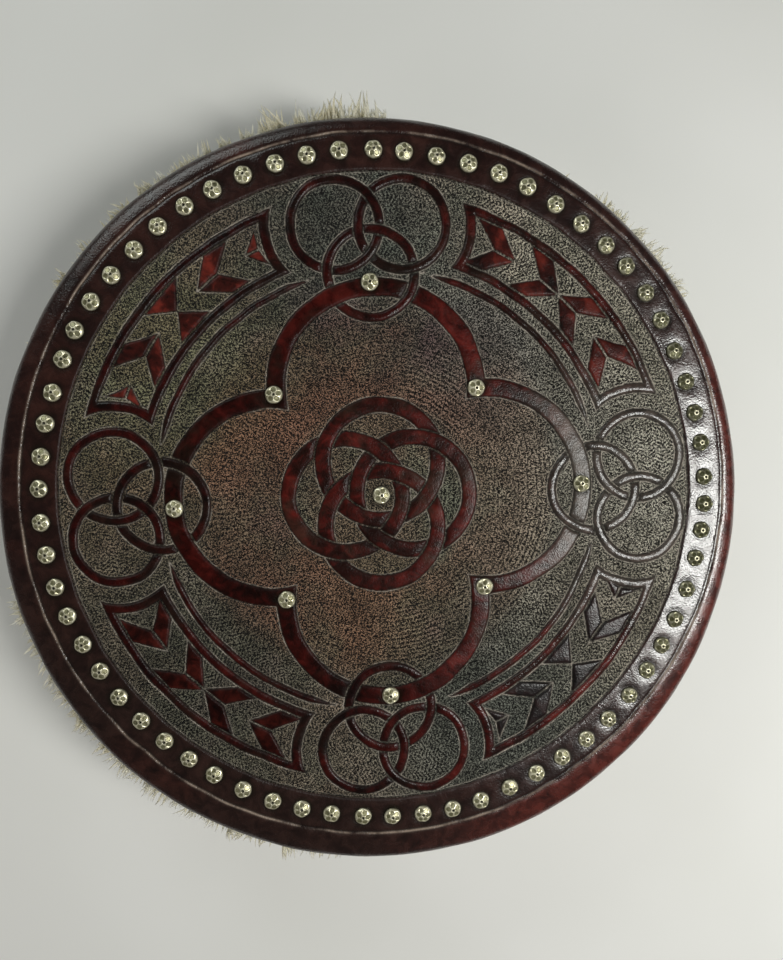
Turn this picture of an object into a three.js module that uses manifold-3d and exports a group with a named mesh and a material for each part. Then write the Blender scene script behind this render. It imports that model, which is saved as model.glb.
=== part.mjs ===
// A round targe lying on its back: a wooden board under a
// tooled leather cover, domed nails, a fleece back, an arm strap and a hand
// grip. Millimetres, +Z up out of the leather face, origin on the ground under
// the middle of the disc.
import * as THREE from 'three';
import { mergeVertices } from 'three/addons/utils/BufferGeometryUtils.js';
import Module from 'manifold-3d';

const wasm = await Module();
wasm.setup();

// ---------------------------------------------------------------- heights
const STRAP_DEPTH = 58;          // ground to the underside of the fleece
const FLEECE_T = 12;             // fleece under the rim
const HIDE_T = 3;                // leather turned in behind the board
const FIT = 0.3;                 // clearance between fitted pieces
const BOARD_T = 12;
const LEATHER_T = 3.5;           // leather over the face
const CARVE = 1.2;               // depth of the beaten ground

const Z_FLEECE = STRAP_DEPTH;
const Z_HIDE = Z_FLEECE + FLEECE_T;
const Z_BOARD = Z_HIDE + HIDE_T + FIT;
const Z_LEATHER = Z_BOARD + BOARD_T + FIT;
const Z_FACE = Z_LEATHER + LEATHER_T;
const Z_GROUND = Z_FACE - CARVE;

// ---------------------------------------------------------------- disc
const BOARD_R = 253;
const RIM_R = 257;               // widest point of the leather edge
const TURN_IN = 32;              // leather lapped onto the back
const RIM_IN = 218.5;            // step from the rim band to the field
const GROOVE_R = 242.6;          // tooled line along the rim
const GROOVE_W = 2.2;
const GROOVE_D = 0.9;
const FLEECE_R = 252;
const FLEECE_WAVE = 2.2;
const DISC_SEG = 56;

// ---------------------------------------------------------------- pattern
const LINE = 0.9;                // gap beside a strand that passes over
const RING_SEG = 18;
const CENTRE = { w: 9.8, seg: 20 };
const SIDE = { w: 5.6 };
const QUATREFOIL = { w: 12, seg: 13 };
// each ring and lobe as the hand laid it, from the north and on to the west:
// the middle and the radius of its centre line
const place = ([x, y, r]) => ({ x, y, r });
const KNOT = [[1, 21.6, 39.9], [-24.6, -0.5, 39.2], [-0.5, -23.7, 39.2], [22.5, -1.5, 39.4]].map(place);
const TRIO = [
  [[-21.5, 183.2, 30.2], [24, 182, 30.2], [1.2, 150.3, 29.8]],
  [[-181.6, -21.6, 29.3], [-180.6, 21.6, 30.2], [-149.8, -0.5, 30.2]],
  [[20.9, -183, 29.3], [-22, -182, 29], [-1.6, -152, 29.3]],
  [[183, 16.6, 29.9], [182.2, -27.8, 29.5], [150.3, -4.9, 29.9]],
].map((trio) => trio.map(place));
const LOBES = [[1, 72.3, 68.9], [-73.3, 0, 68.6], [-1.6, -75.6, 68.2], [73, 0, 69.4]].map(place);
const CIRCLE_BAND = { r: 153, w: 4, halfAngle: 28, seg: 8 };
const PANEL = { rOut: 205.5, rIn: 162, border: 5.2, ends: 44.5, endBorder: 6, seg: 8 };
const CHEVRON = { mid: 184, divide: 0.9, half: 15.2, width: 5, slant: 5 };
const CHEVRONS_A = [0.4, 12.2];  // degrees from the panel's middle to each apex
const CHEVRONS_B = [6.5];
const END_TRIANGLE = 19.2;
const MID_TRIANGLE = 4.6;

// ---------------------------------------------------------------- nails
// the rim nails where the hand set them: angle in degrees, distance from the middle
const RIM_NAILS = [
  [88.2, 231.6], [93.9, 232.1], [99.3, 232], [104.7, 231.8], [110.3, 231.9], [115.9, 231.9],
  [121.2, 232], [126.7, 231.9], [132.2, 231.1], [137.8, 231.2], [143.3, 231.9], [148.7, 231.6],
  [153.9, 230.8], [159.7, 230.1], [165, 229.9], [170.6, 230], [176, 230.5], [181.7, 230.6],
  [187.2, 230.6], [192.9, 230.5], [198.2, 229.8], [203.7, 228.9], [209.2, 228.6], [214.8, 229.1],
  [220.4, 229.2], [225.8, 228.9], [231.1, 229], [236.3, 229.5], [242, 230.2], [247.6, 230.8],
  [252.9, 230.8], [258.2, 230.9], [263.8, 231.1], [269, 231.5], [274.4, 232.2], [279.7, 233.1],
  [284.9, 233], [290.5, 232.1], [295.9, 231.6], [301.3, 231.6], [306.7, 231.9], [312, 231.9],
  [317.6, 231.6], [323.1, 230.8], [328.3, 230.4], [333.5, 230.5], [339.3, 230.2], [345.1, 230],
  [350.2, 230.5], [354.9, 230.6], [359.7, 230], [5.8, 229.3], [11.2, 228.7], [16.9, 228.3],
  [22.7, 228.5], [28.6, 229.6], [34, 230.9], [39.7, 231.5], [44.7, 231.1], [50.3, 230.8],
  [55.8, 231.2], [61.4, 232], [66.7, 232], [72.1, 231.5], [77.6, 231.1], [83.1, 231.1],
];
const NAIL_R = 5.6;
const NAIL_H = 3.4;
const NAIL_SEG = 8;
const FIELD_NAILS = [
  ['centre', 0.2, -1.5], ['north', 0, 144.2], ['west', -141.3, -2.6], ['south', -0.8, -143.4], ['east', 141.4, -1.2],
  ['northeast', 69.6, 69.3], ['northwest', -69.3, 71.3], ['southwest', -69.3, -70.3], ['southeast', 69.3, -70],
];

// ---------------------------------------------------------------- straps
const ARM = { x: 88, width: 76, t: 4, halfSpan: 68, foot: 40, corner: 17, heel: 8 };
const GRIP = { x: -112, width: 32, t: 6, halfSpan: 56, foot: 32, corner: 19, heel: 9 };

const rad = THREE.MathUtils.degToRad;
const polar = (deg, r) => new THREE.Vector2(r * Math.cos(rad(deg)), r * Math.sin(rad(deg)));

const materials = {
  leather: () => new THREE.MeshStandardMaterial({ color: 0x3a1512, roughness: 0.45, metalness: 0 }),
  wood: () => new THREE.MeshStandardMaterial({ color: 0xa98658, roughness: 0.8, metalness: 0 }),
  fleece: () => new THREE.MeshStandardMaterial({ color: 0xe6e0cf, roughness: 1, metalness: 0 }),
  strap: () => new THREE.MeshStandardMaterial({ color: 0x4a2416, roughness: 0.6, metalness: 0 }),
  nail: () => new THREE.MeshStandardMaterial({ color: 0xb3a878, roughness: 0.35, metalness: 1 }),
};

// ---------------------------------------------------------------- solids
function solid(geometry) {
  const g = geometry.clone();
  g.deleteAttribute('normal');
  if (g.getAttribute('uv')) g.deleteAttribute('uv');
  const m = mergeVertices(g, 1e-4);
  return new wasm.Manifold(new wasm.Mesh({
    numProp: 3,
    vertProperties: new Float32Array(m.getAttribute('position').array),
    triVerts: new Uint32Array(m.index.array),
  }));
}

function geometryOf(manifold) {
  const mesh = manifold.getMesh();
  const g = new THREE.BufferGeometry();
  const points = new Float32Array(mesh.numVert * 3);
  for (let i = 0; i < mesh.numVert; i += 1) {
    for (let k = 0; k < 3; k += 1) points[3 * i + k] = mesh.vertProperties[mesh.numProp * i + k];
  }
  g.setAttribute('position', new THREE.BufferAttribute(points, 3));
  g.setIndex(new THREE.BufferAttribute(new Uint32Array(mesh.triVerts), 1));
  g.computeVertexNormals();
  return g;
}

function prism(outline, z0, z1, hole) {
  const shape = new THREE.Shape(outline);
  if (hole) shape.holes.push(new THREE.Path(hole));
  const g = new THREE.ExtrudeGeometry(shape, { depth: z1 - z0, bevelEnabled: false });
  g.translate(0, 0, z0);
  return solid(g);
}

function arc(cx, cy, r, a0, a1, seg) {
  const out = [];
  for (let i = 0; i <= seg; i += 1) {
    const p = polar(a0 + (a1 - a0) * i / seg, r);
    out.push(new THREE.Vector2(cx + p.x, cy + p.y));
  }
  return out;
}

const Z_LOW = Z_GROUND - 0.6;    // strands root this far into the ground

function arcBand(c, w, a0, a1, seg, z0 = Z_LOW, z1 = Z_FACE) {
  return prism([...arc(c.x, c.y, c.r + w / 2, a0, a1, seg), ...arc(c.x, c.y, c.r - w / 2, a1, a0, seg)], z0, z1);
}

function ring(c, w, seg) {
  return prism(arc(c.x, c.y, c.r + w / 2, 0, 360 - 360 / seg, seg - 1), Z_LOW, Z_FACE,
    arc(c.x, c.y, c.r - w / 2, 0, 360 - 360 / seg, seg - 1));
}

// the two points where two equal-plane circles cross
function crossings(a, b) {
  const dx = b.x - a.x, dy = b.y - a.y, d = Math.hypot(dx, dy);
  const m = (d * d + a.r * a.r - b.r * b.r) / (2 * d);
  const h = Math.sqrt(a.r * a.r - m * m);
  return [1, -1].map((s) => new THREE.Vector2(
    a.x + (m * dx - s * h * dy) / d, a.y + (m * dy + s * h * dx) / d));
}

// the stretch of strand c around a crossing, widened by the tooled line
function over(c, w, p, half) {
  const a = Math.atan2(p.y - c.y, p.x - c.x) * 180 / Math.PI;
  return arcBand(c, w + 2 * LINE, a - half, a + half, 4, Z_LOW - 1, Z_FACE + 1);
}

const nearest = (points, x, y) => points.reduce((best, p) => (
  Math.hypot(p.x - x, p.y - y) < Math.hypot(best.x - x, best.y - y) ? p : best));

const turn = (c, quarter) => {
  const p = new THREE.Vector2(c.x, c.y).rotateAround(new THREE.Vector2(), quarter * Math.PI / 2);
  return { x: p.x, y: p.y, r: c.r };
};

// ---------------------------------------------------------------- carving
function centreKnot() {
  const parts = [];
  for (let q = 0; q < 4; q += 1) {
    const [own, left, facing, right] = [0, 1, 2, 3].map((k) => KNOT[(q + k) % 4]);
    const far = turn({ x: 60, y: 60, r: 0 }, q);
    const farL = turn({ x: -31, y: 0, r: 0 }, q);
    const inR = turn({ x: 13, y: -13, r: 0 }, q);
    let m = ring(own, CENTRE.w, CENTRE.seg);
    // passes under its right neighbour outside, the facing ring on the left,
    // and its left neighbour inside
    m = m.subtract(over(right, CENTRE.w, nearest(crossings(own, right), far.x, far.y), 26));
    m = m.subtract(over(facing, CENTRE.w, nearest(crossings(own, facing), farL.x, farL.y), 26));
    m = m.subtract(over(left, CENTRE.w, nearest(crossings(own, left), inR.x, inR.y), 26));
    parts.push(m);
  }
  return parts;
}

function sideKnotAndLobe(q) {
  const [L, R, I] = TRIO[q];
  const Q = LOBES[q];
  const LR = crossings(L, R), IL = crossings(I, L), IR = crossings(I, R), IQ = crossings(I, Q);
  const at = (pts, x, y) => {
    const p = turn({ x, y, r: 0 }, q);
    return nearest(pts, p.x, p.y);
  };
  let left = ring(L, SIDE.w, RING_SEG);
  let right = ring(R, SIDE.w, RING_SEG);
  let inner = ring(I, SIDE.w, RING_SEG);
  left = left.subtract(over(I, SIDE.w, at(IL, 6, 179), 24)).subtract(over(I, SIDE.w, at(IL, -29, 154), 20));
  right = right.subtract(over(L, SIDE.w, at(LR, 0, 203), 24)).subtract(over(L, SIDE.w, at(LR, 0, 163), 20));
  inner = inner.subtract(over(R, SIDE.w, at(IR, -6, 179), 24)).subtract(over(R, SIDE.w, at(IR, 29, 154), 20));
  inner = inner.subtract(over(Q, QUATREFOIL.w, at(IQ, -26, 137), 10));
  const cutter = over(I, SIDE.w, at(IQ, 26, 137), 26);
  return { rings: [left, right, inner], cutter };
}

function quatrefoil() {
  const path = (grow, seg) => {
    const lobes = LOBES.map((c) => ({ ...c, r: c.r + grow }));
    const cusps = lobes.map((c, q) => crossings(c, lobes[(q + 1) % 4])
      .reduce((best, p) => (p.length() > best.length() ? p : best)));
    const pts = [];
    for (let q = 0; q < 4; q += 1) {
      const c = lobes[q], from = cusps[(q + 3) % 4], to = cusps[q];
      const a0 = Math.atan2(from.y - c.y, from.x - c.x) * 180 / Math.PI;
      let a1 = Math.atan2(to.y - c.y, to.x - c.x) * 180 / Math.PI;
      while (a1 < a0) a1 += 360;
      pts.push(...arc(c.x, c.y, c.r, a0, a1, seg).slice(0, -1));
    }
    return pts;
  };
  return prism(path(QUATREFOIL.w / 2, QUATREFOIL.seg), Z_LOW, Z_FACE, path(-QUATREFOIL.w / 2, QUATREFOIL.seg));
}

// angle from the panel's middle at which radius r meets the end arc rho about c
function endAngle(r, rho, c, mid) {
  const R0 = Math.hypot(c.x, c.y);
  const a = Math.atan2(c.y, c.x) * 180 / Math.PI - mid;
  const a0 = Math.abs(((a + 540) % 360) - 180);
  return a0 - Math.acos((r * r + R0 * R0 - rho * rho) / (2 * r * R0)) * 180 / Math.PI;
}

function panelOutline(mid, rOut, rIn, rho, seg) {
  const pts = [];
  const ends = 4;
  const q = Math.round((mid - 45) / 90);
  const fore = TRIO[(q + 0) % 4][1], back = TRIO[(q + 3) % 4][0];
  const A = (r) => endAngle(r, rho, fore, mid);   // the end towards the larger angles
  const B = (r) => endAngle(r, rho, back, mid);
  for (let i = 0; i <= seg; i += 1) pts.push(polar(mid - B(rOut) + (A(rOut) + B(rOut)) * i / seg, rOut));
  for (let i = 1; i < ends; i += 1) {
    const r = rOut + (rIn - rOut) * i / ends;
    pts.push(polar(mid + A(r), r));
  }
  for (let i = 0; i <= seg; i += 1) pts.push(polar(mid + A(rIn) - (A(rIn) + B(rIn)) * i / seg, rIn));
  for (let i = 1; i < ends; i += 1) {
    const r = rIn + (rOut - rIn) * i / ends;
    pts.push(polar(mid - B(r), r));
  }
  return pts;
}

function panel(mid, isB) {
  const parts = [];
  parts.push(prism(
    panelOutline(mid, PANEL.rOut, PANEL.rIn, PANEL.ends, PANEL.seg), Z_LOW, Z_FACE,
    panelOutline(mid, PANEL.rOut - PANEL.border, PANEL.rIn + PANEL.border, PANEL.ends + PANEL.endBorder, PANEL.seg)));
  const { mid: m, divide: d, half: h, width: w, slant: s } = CHEVRON;
  const add = (pts) => parts.push(prism(pts, Z_LOW, Z_FACE));
  for (const side of [1, -1]) {
    for (const v of [1, -1]) {
      const P = (a, dr) => polar(mid + side * a, m + v * dr);
      for (const a of (isB ? CHEVRONS_B : CHEVRONS_A)) add([P(a, d), P(a + w, d), P(a + w + s, h), P(a + s, h)]);
      if (isB) add([P(END_TRIANGLE, d), P(END_TRIANGLE + 2.4, d), P(END_TRIANGLE + 3.2, 0.72 * h)]);
    }
  }
  if (isB) {
    for (const v of [1, -1]) {
      add([polar(mid, m + v * d), polar(mid + MID_TRIANGLE, m + v * h), polar(mid - MID_TRIANGLE, m + v * h)]);
    }
  }
  return parts;
}

function circleBand(mid) {
  const c = { x: 0, y: 0, r: CIRCLE_BAND.r };
  const a = CIRCLE_BAND.halfAngle;
  const outer = arc(0, 0, c.r + CIRCLE_BAND.w / 2, mid - a + 1, mid + a - 1, CIRCLE_BAND.seg);
  const inner = arc(0, 0, c.r - CIRCLE_BAND.w / 2, mid + a - 1, mid - a + 1, CIRCLE_BAND.seg);
  return prism([...outer, polar(mid + a, c.r), ...inner, polar(mid - a, c.r)], Z_LOW, Z_FACE);
}

// ---------------------------------------------------------------- leather
function leatherBlank() {
  const g = GROOVE_W / 2;
  const zMid = (Z_HIDE + Z_FACE) / 2;
  const profile = [
    [0, Z_GROUND], [RIM_IN, Z_GROUND], [RIM_IN, Z_FACE],
    [GROOVE_R - g, Z_FACE], [GROOVE_R, Z_FACE - GROOVE_D], [GROOVE_R + g, Z_FACE],
    [248.5, Z_FACE - 0.6], [254.2, Z_FACE - 4.2], [RIM_R, zMid + 1],
    [255.2, Z_HIDE + 3], [249.5, Z_HIDE], [BOARD_R - TURN_IN, Z_HIDE],
    [BOARD_R - TURN_IN, Z_HIDE + HIDE_T], [BOARD_R + FIT, Z_HIDE + HIDE_T],
    [BOARD_R + FIT, Z_LEATHER - 1.2], [BOARD_R - 1.2, Z_LEATHER], [0, Z_LEATHER],
  ].map(([x, y]) => new THREE.Vector2(x, y)).reverse();
  const lathe = new THREE.LatheGeometry(profile, DISC_SEG);
  lathe.rotateX(Math.PI / 2);
  return solid(lathe);
}

function leatherCover() {
  let m = leatherBlank();
  if (m.volume() < 0) throw new Error('inside out');
  let q4 = quatrefoil();
  const raised = [...centreKnot()];
  for (let q = 0; q < 4; q += 1) {
    const { rings, cutter } = sideKnotAndLobe(q);
    raised.push(...rings);
    q4 = q4.subtract(cutter);
    raised.push(...panel(45 + 90 * q, q % 2 === 1));
    raised.push(circleBand(45 + 90 * q));
  }
  raised.push(q4);
  for (const piece of raised) m = m.add(piece);
  return geometryOf(m);
}

// ---------------------------------------------------------------- others
function board() {
  const profile = [[0, 0], [BOARD_R, 0], [BOARD_R, BOARD_T - 1.4], [BOARD_R - 1.4, BOARD_T], [0, BOARD_T]]
    .map(([x, y]) => new THREE.Vector2(x, y));
  const g = new THREE.LatheGeometry(profile, DISC_SEG);
  g.rotateX(Math.PI / 2);
  g.translate(0, 0, Z_BOARD);
  return geometryOf(solid(g));
}

// the cut edge of the skin wanders; the middle fills up to the board
function fleece() {
  const seg = 48;
  const rows = [
    [0, 0], [0.94, 0], [0.99, 2.6], [1, 6.5], [0.98, FLEECE_T - FIT],
    [(BOARD_R - TURN_IN - FIT - 0.3) / FLEECE_R, FLEECE_T - FIT, 1],
    [(BOARD_R - TURN_IN - FIT - 0.3) / FLEECE_R, FLEECE_T + HIDE_T, 1], [0, FLEECE_T + HIDE_T],
  ];
  const g = new THREE.LatheGeometry(rows.map(([x, y]) => new THREE.Vector2(x * FLEECE_R, y)), seg);
  g.rotateX(Math.PI / 2);
  const p = g.getAttribute('position');
  for (let i = 0; i < p.count; i += 1) {
    const r = Math.hypot(p.getX(i), p.getY(i));
    if (r < 0.92 * FLEECE_R) continue;
    const a = Math.atan2(p.getY(i), p.getX(i));
    const k = 1 + (FLEECE_WAVE / FLEECE_R) * (0.55 * Math.sin(7 * a + 0.6) + 0.45 * Math.sin(13 * a + 2.1));
    p.setXY(i, p.getX(i) * k, p.getY(i) * k);
  }
  g.translate(0, 0, Z_FLEECE);
  return geometryOf(solid(g));
}

// a flat band bent into a bracket: feet against the fleece, level crown below
function strap({ x, width, t, halfSpan, foot, corner, heel }) {
  const top = Z_FLEECE - FIT;
  const line = [];
  const bend = (cx, cz, r, a0, a1, n) => {
    for (let i = 0; i <= n; i += 1) {
      const a = rad(a0 + (a1 - a0) * i / n);
      line.push([cx + r * Math.cos(a), cz + r * Math.sin(a)]);
    }
  };
  const lean = 8;
  const out = halfSpan + lean;
  line.push([out + heel + foot, top - t / 2]);
  bend(out + heel, top - t / 2 - heel, heel, 90, 172, 4);
  bend(halfSpan - corner, t / 2 + corner, corner, -8, -90, 6);
  const half = line.map(([y, z]) => new THREE.Vector2(y, z));
  const path = [...half, ...half.slice().reverse().map((p) => new THREE.Vector2(-p.x, p.y))];
  const offset = (d) => path.map((p, i) => {
    const a = path[Math.max(i - 1, 0)], b = path[Math.min(i + 1, path.length - 1)];
    const n = new THREE.Vector2(b.y - a.y, a.x - b.x).normalize();
    return new THREE.Vector2(p.x + d * n.x, p.y + d * n.y);
  });
  const shape = new THREE.Shape([...offset(t / 2), ...offset(-t / 2).reverse()]);
  const g = new THREE.ExtrudeGeometry(shape, { depth: width, bevelEnabled: false });
  // shape plane (y, z) with the extrusion along X
  g.applyMatrix4(new THREE.Matrix4().set(0, 0, 1, x - width / 2, 1, 0, 0, 0, 0, 1, 0, 0, 0, 0, 0, 1));
  return geometryOf(solid(g));
}

function nail(x, y) {
  const profile = [[0, 0], [NAIL_R, 0], [0.76 * NAIL_R, 0.68 * NAIL_H], [0, NAIL_H]]
    .map(([r, z]) => new THREE.Vector2(r, z));
  const g = new THREE.LatheGeometry(profile, NAIL_SEG, Math.atan2(x, y));
  g.rotateX(Math.PI / 2);
  g.deleteAttribute('normal');
  g.deleteAttribute('uv');
  const m = new THREE.Mesh(geometryOf(solid(g)), materials.nail());
  m.position.set(x, y, Z_FACE + 0.02);
  return m;
}

const targe = new THREE.Group();
function put(name, geometry, material) {
  const mesh = new THREE.Mesh(geometry, material);
  mesh.name = name;
  targe.add(mesh);
}
put('leather_cover', leatherCover(), materials.leather());
put('wooden_board', board(), materials.wood());
put('fleece_back', fleece(), materials.fleece());
put('arm_strap', strap(ARM), materials.strap());
put('hand_grip', strap(GRIP), materials.strap());

for (const [name, x, y] of FIELD_NAILS) {
  const m = nail(x, y);
  m.name = `field_nail_${name}`;
  if (name === 'centre') m.position.z = Z_GROUND + 0.02;
  targe.add(m);
}
// two of every three rim nails, in rotation order
for (let i = 0; i < RIM_NAILS.length; i += 1) {
  if (i % 3 === 2) continue;
  const p = polar(...RIM_NAILS[i]);
  const m = nail(p.x, p.y);
  m.name = `rim_nail_${String(i + 1).padStart(2, '0')}`;
  targe.add(m);
}

export default targe;
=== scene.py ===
import math
import bpy
import numpy as np
from mathutils import Matrix, Vector
from mathutils.geometry import delaunay_2d_cdt


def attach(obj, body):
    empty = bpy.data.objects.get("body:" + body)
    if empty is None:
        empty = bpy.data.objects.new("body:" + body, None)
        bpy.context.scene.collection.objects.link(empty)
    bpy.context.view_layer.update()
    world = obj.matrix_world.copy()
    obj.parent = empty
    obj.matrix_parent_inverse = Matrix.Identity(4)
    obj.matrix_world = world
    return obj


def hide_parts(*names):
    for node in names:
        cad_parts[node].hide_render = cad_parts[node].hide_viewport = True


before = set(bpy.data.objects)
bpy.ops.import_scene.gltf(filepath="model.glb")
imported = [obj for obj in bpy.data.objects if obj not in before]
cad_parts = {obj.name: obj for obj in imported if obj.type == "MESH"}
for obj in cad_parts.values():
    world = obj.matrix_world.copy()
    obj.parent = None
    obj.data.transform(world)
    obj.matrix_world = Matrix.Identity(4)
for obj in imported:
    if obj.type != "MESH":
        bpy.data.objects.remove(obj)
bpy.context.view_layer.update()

RNG = np.random.default_rng(7)
MM = 0.001

# ------------------------------------------------------------------ sizes, mm
Z_FLEECE, FLEECE_T, HIDE_T, FIT, BOARD_T, LEATHER_T, CARVE = 58.0, 12.0, 3.0, 0.3, 12.0, 3.5, 1.2
Z_HIDE = Z_FLEECE + FLEECE_T
Z_FACE = Z_HIDE + HIDE_T + FIT + BOARD_T + FIT + LEATHER_T
BOARD_R, RIM_R, TURN_IN = 253.0, 257.0, 32.0
RIM_IN, GROOVE_R = 218.5, 242.6
FACE_EDGE = 244.6
EDGE_SHIFT = (-2.6, -4.4)      # the hand-cut edge is wider below and on the left

CENTRE = dict(hw=5.1)
SIDE = dict(hw=2.8)
# each ring and lobe as the hand laid it: middle and radius of its centre line
KNOT = [(1.0, 21.6, 39.9), (-24.6, -0.5, 39.2), (-0.5, -23.7, 39.2), (22.5, -1.5, 39.4)]
TRIO = [[(-21.5, 183.2, 30.2), (24.0, 182.0, 30.2), (1.2, 150.3, 29.8)],
        [(-181.6, -21.6, 29.3), (-180.6, 21.6, 30.2), (-149.8, -0.5, 30.2)],
        [(20.9, -183.0, 29.3), (-22.0, -182.0, 29.0), (-1.6, -152.0, 29.3)],
        [(183.0, 16.6, 29.9), (182.2, -27.8, 29.5), (150.3, -4.9, 29.9)]]
LOBES = [(1.0, 72.3, 68.9), (-73.3, 0.0, 68.6), (-1.6, -75.6, 68.2), (73.0, 0.0, 69.4)]
QF = dict(hw=6.0)
BAND = dict(r=153.0, hw=2.0, half=28.0)
PANEL = dict(rout=205.5, rin=162.0, border=5.2, ends=44.5, endborder=6.0)
CH = dict(mid=184.0, divide=0.9, half=15.2, width=5.0, slant=5.0)
# the rim nails where the hand set them: angle in degrees, distance from the middle
RIM_NAILS = [
    (88.2, 231.6), (93.9, 232.1), (99.3, 232.0), (104.7, 231.8), (110.3, 231.9), (115.9, 231.9),
    (121.2, 232.0), (126.7, 231.9), (132.2, 231.1), (137.8, 231.2), (143.3, 231.9), (148.7, 231.6),
    (153.9, 230.8), (159.7, 230.1), (165.0, 229.9), (170.6, 230.0), (176.0, 230.5), (181.7, 230.6),
    (187.2, 230.6), (192.9, 230.5), (198.2, 229.8), (203.7, 228.9), (209.2, 228.6), (214.8, 229.1),
    (220.4, 229.2), (225.8, 228.9), (231.1, 229.0), (236.3, 229.5), (242.0, 230.2), (247.6, 230.8),
    (252.9, 230.8), (258.2, 230.9), (263.8, 231.1), (269.0, 231.5), (274.4, 232.2), (279.7, 233.1),
    (284.9, 233.0), (290.5, 232.1), (295.9, 231.6), (301.3, 231.6), (306.7, 231.9), (312.0, 231.9),
    (317.6, 231.6), (323.1, 230.8), (328.3, 230.4), (333.5, 230.5), (339.3, 230.2), (345.1, 230.0),
    (350.2, 230.5), (354.9, 230.6), (359.7, 230.0), (5.8, 229.3), (11.2, 228.7), (16.9, 228.3),
    (22.7, 228.5), (28.6, 229.6), (34.0, 230.9), (39.7, 231.5), (44.7, 231.1), (50.3, 230.8),
    (55.8, 231.2), (61.4, 232.0), (66.7, 232.0), (72.1, 231.5), (77.6, 231.1), (83.1, 231.1)]
FIELD = [(0.2, -1.5), (0, 144.2), (-141.3, -2.6), (-0.8, -143.4), (141.4, -1.2),
         (69.6, 69.3), (-69.3, 71.3), (-69.3, -70.3), (69.3, -70.0)]


EDGE_GROW = [(0, 1.9), (22, 2.6), (45, 3.4), (90, 3.4), (120, 4.0), (135, 3.0), (152, 1.6), (180, 1.6), (210, 2.0),
             (240, 2.6), (258, 4.2), (285, 5.0), (315, 5.2), (332, 4.0), (346, 3.0)]   # mm, by angle


def grow(th):
    a = np.degrees(th) % 360
    xs = np.array([g[0] for g in EDGE_GROW], float)
    ys = np.array([g[1] for g in EDGE_GROW], float)
    fine = np.arange(0, 360, 2.0)
    v = np.interp(fine, xs, ys, period=360)
    k = np.exp(-(np.arange(-12, 13) / 5.0) ** 2)
    v = np.convolve(np.concatenate([v[-12:], v, v[:12]]), k / k.sum(), "valid")
    return np.interp(a, fine, v, period=360)


def pol(deg, r):
    a = math.radians(deg)
    return (r * math.cos(a), r * math.sin(a))


def rot(p, q):
    for _ in range(q % 4):
        p = (-p[1], p[0])
    return p


# ------------------------------------------------------------------ strands
class Ring:
    def __init__(self, c, r, hw, kind):
        self.c, self.r, self.hw, self.kind = c, r, hw, kind
        self.under = []

    def sd(self, x, y):
        return np.abs(np.hypot(x - self.c[0], y - self.c[1]) - self.r) - self.hw

    def rows(self, offs, step):
        for o in offs:
            for rr in (self.r + self.hw + o, self.r - self.hw - o):
                if rr > 1:
                    n = max(8, int(2 * math.pi * rr / step))
                    a = np.arange(n) * 2 * math.pi / n
                    yield np.stack([self.c[0] + rr * np.cos(a), self.c[1] + rr * np.sin(a)], 1)


def crossings(a, b):
    dx, dy = b.c[0] - a.c[0], b.c[1] - a.c[1]
    d = math.hypot(dx, dy)
    m = (d * d + a.r ** 2 - b.r ** 2) / (2 * d)
    h = math.sqrt(a.r ** 2 - m * m)
    return [(a.c[0] + (m * dx - s * h * dy) / d, a.c[1] + (m * dy + s * h * dx) / d) for s in (1, -1)]


def near(pts, x, y):
    return min(pts, key=lambda p: math.hypot(p[0] - x, p[1] - y))


class Quatrefoil:
    kind = "quatrefoil"
    hw = QF["hw"]

    def __init__(self):
        self.under = []
        self.lobes = [Ring((x, y), r, self.hw, "lobe") for x, y, r in LOBES]

    def cusps(self, off):
        out = []
        for q in range(4):
            a, b = self.lobes[q], self.lobes[(q + 1) % 4]
            A, B = Ring(a.c, a.r + off, 1, ""), Ring(b.c, b.r + off, 1, "")
            out.append(max(crossings(A, B), key=lambda p: math.hypot(*p)))
        return out

    def region(self, x, y, off):
        c = self.cusps(off)
        d = Poly(c).sd(x, y)
        for l in self.lobes:
            d = np.minimum(d, np.hypot(x - l.c[0], y - l.c[1]) - (l.r + off))
        return d

    def sd(self, x, y):
        return np.maximum(self.region(x, y, self.hw), -self.region(x, y, -self.hw))

    def rows(self, offs, step):
        for o in offs:
            for off in (self.hw + o, -self.hw - o):
                c = self.cusps(off)
                for q, l in enumerate(self.lobes):
                    p0, p1 = c[(q - 1) % 4], c[q]
                    a0 = math.atan2(p0[1] - l.c[1], p0[0] - l.c[0])
                    a1 = math.atan2(p1[1] - l.c[1], p1[0] - l.c[0])
                    while a1 < a0:
                        a1 += 2 * math.pi
                    n = int((a1 - a0) * (l.r + off) / step)
                    a = np.linspace(a0, a1, n)
                    yield np.stack([l.c[0] + (l.r + off) * np.cos(a), l.c[1] + (l.r + off) * np.sin(a)], 1)


class CircleBand:
    kind = "thin"
    hw = BAND["hw"]

    def __init__(self, mid):
        self.mid, self.under = mid, []

    def sd(self, x, y):
        r = np.hypot(x, y)
        a = np.degrees(np.arctan2(y, x)) - self.mid
        a = np.abs((a + 180) % 360 - 180)
        taper = np.clip((BAND["half"] + 1.5 - a) / 6.0, -1, 1)
        return np.abs(r - BAND["r"]) - self.hw * taper

    def rows(self, offs, step):
        for o in offs:
            for r in (BAND["r"] + self.hw + o, BAND["r"] - self.hw - o):
                n = int(math.radians(2 * BAND["half"]) * r / step)
                a = np.radians(self.mid + np.linspace(-BAND["half"], BAND["half"], n))
                yield np.stack([r * np.cos(a), r * np.sin(a)], 1)


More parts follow.
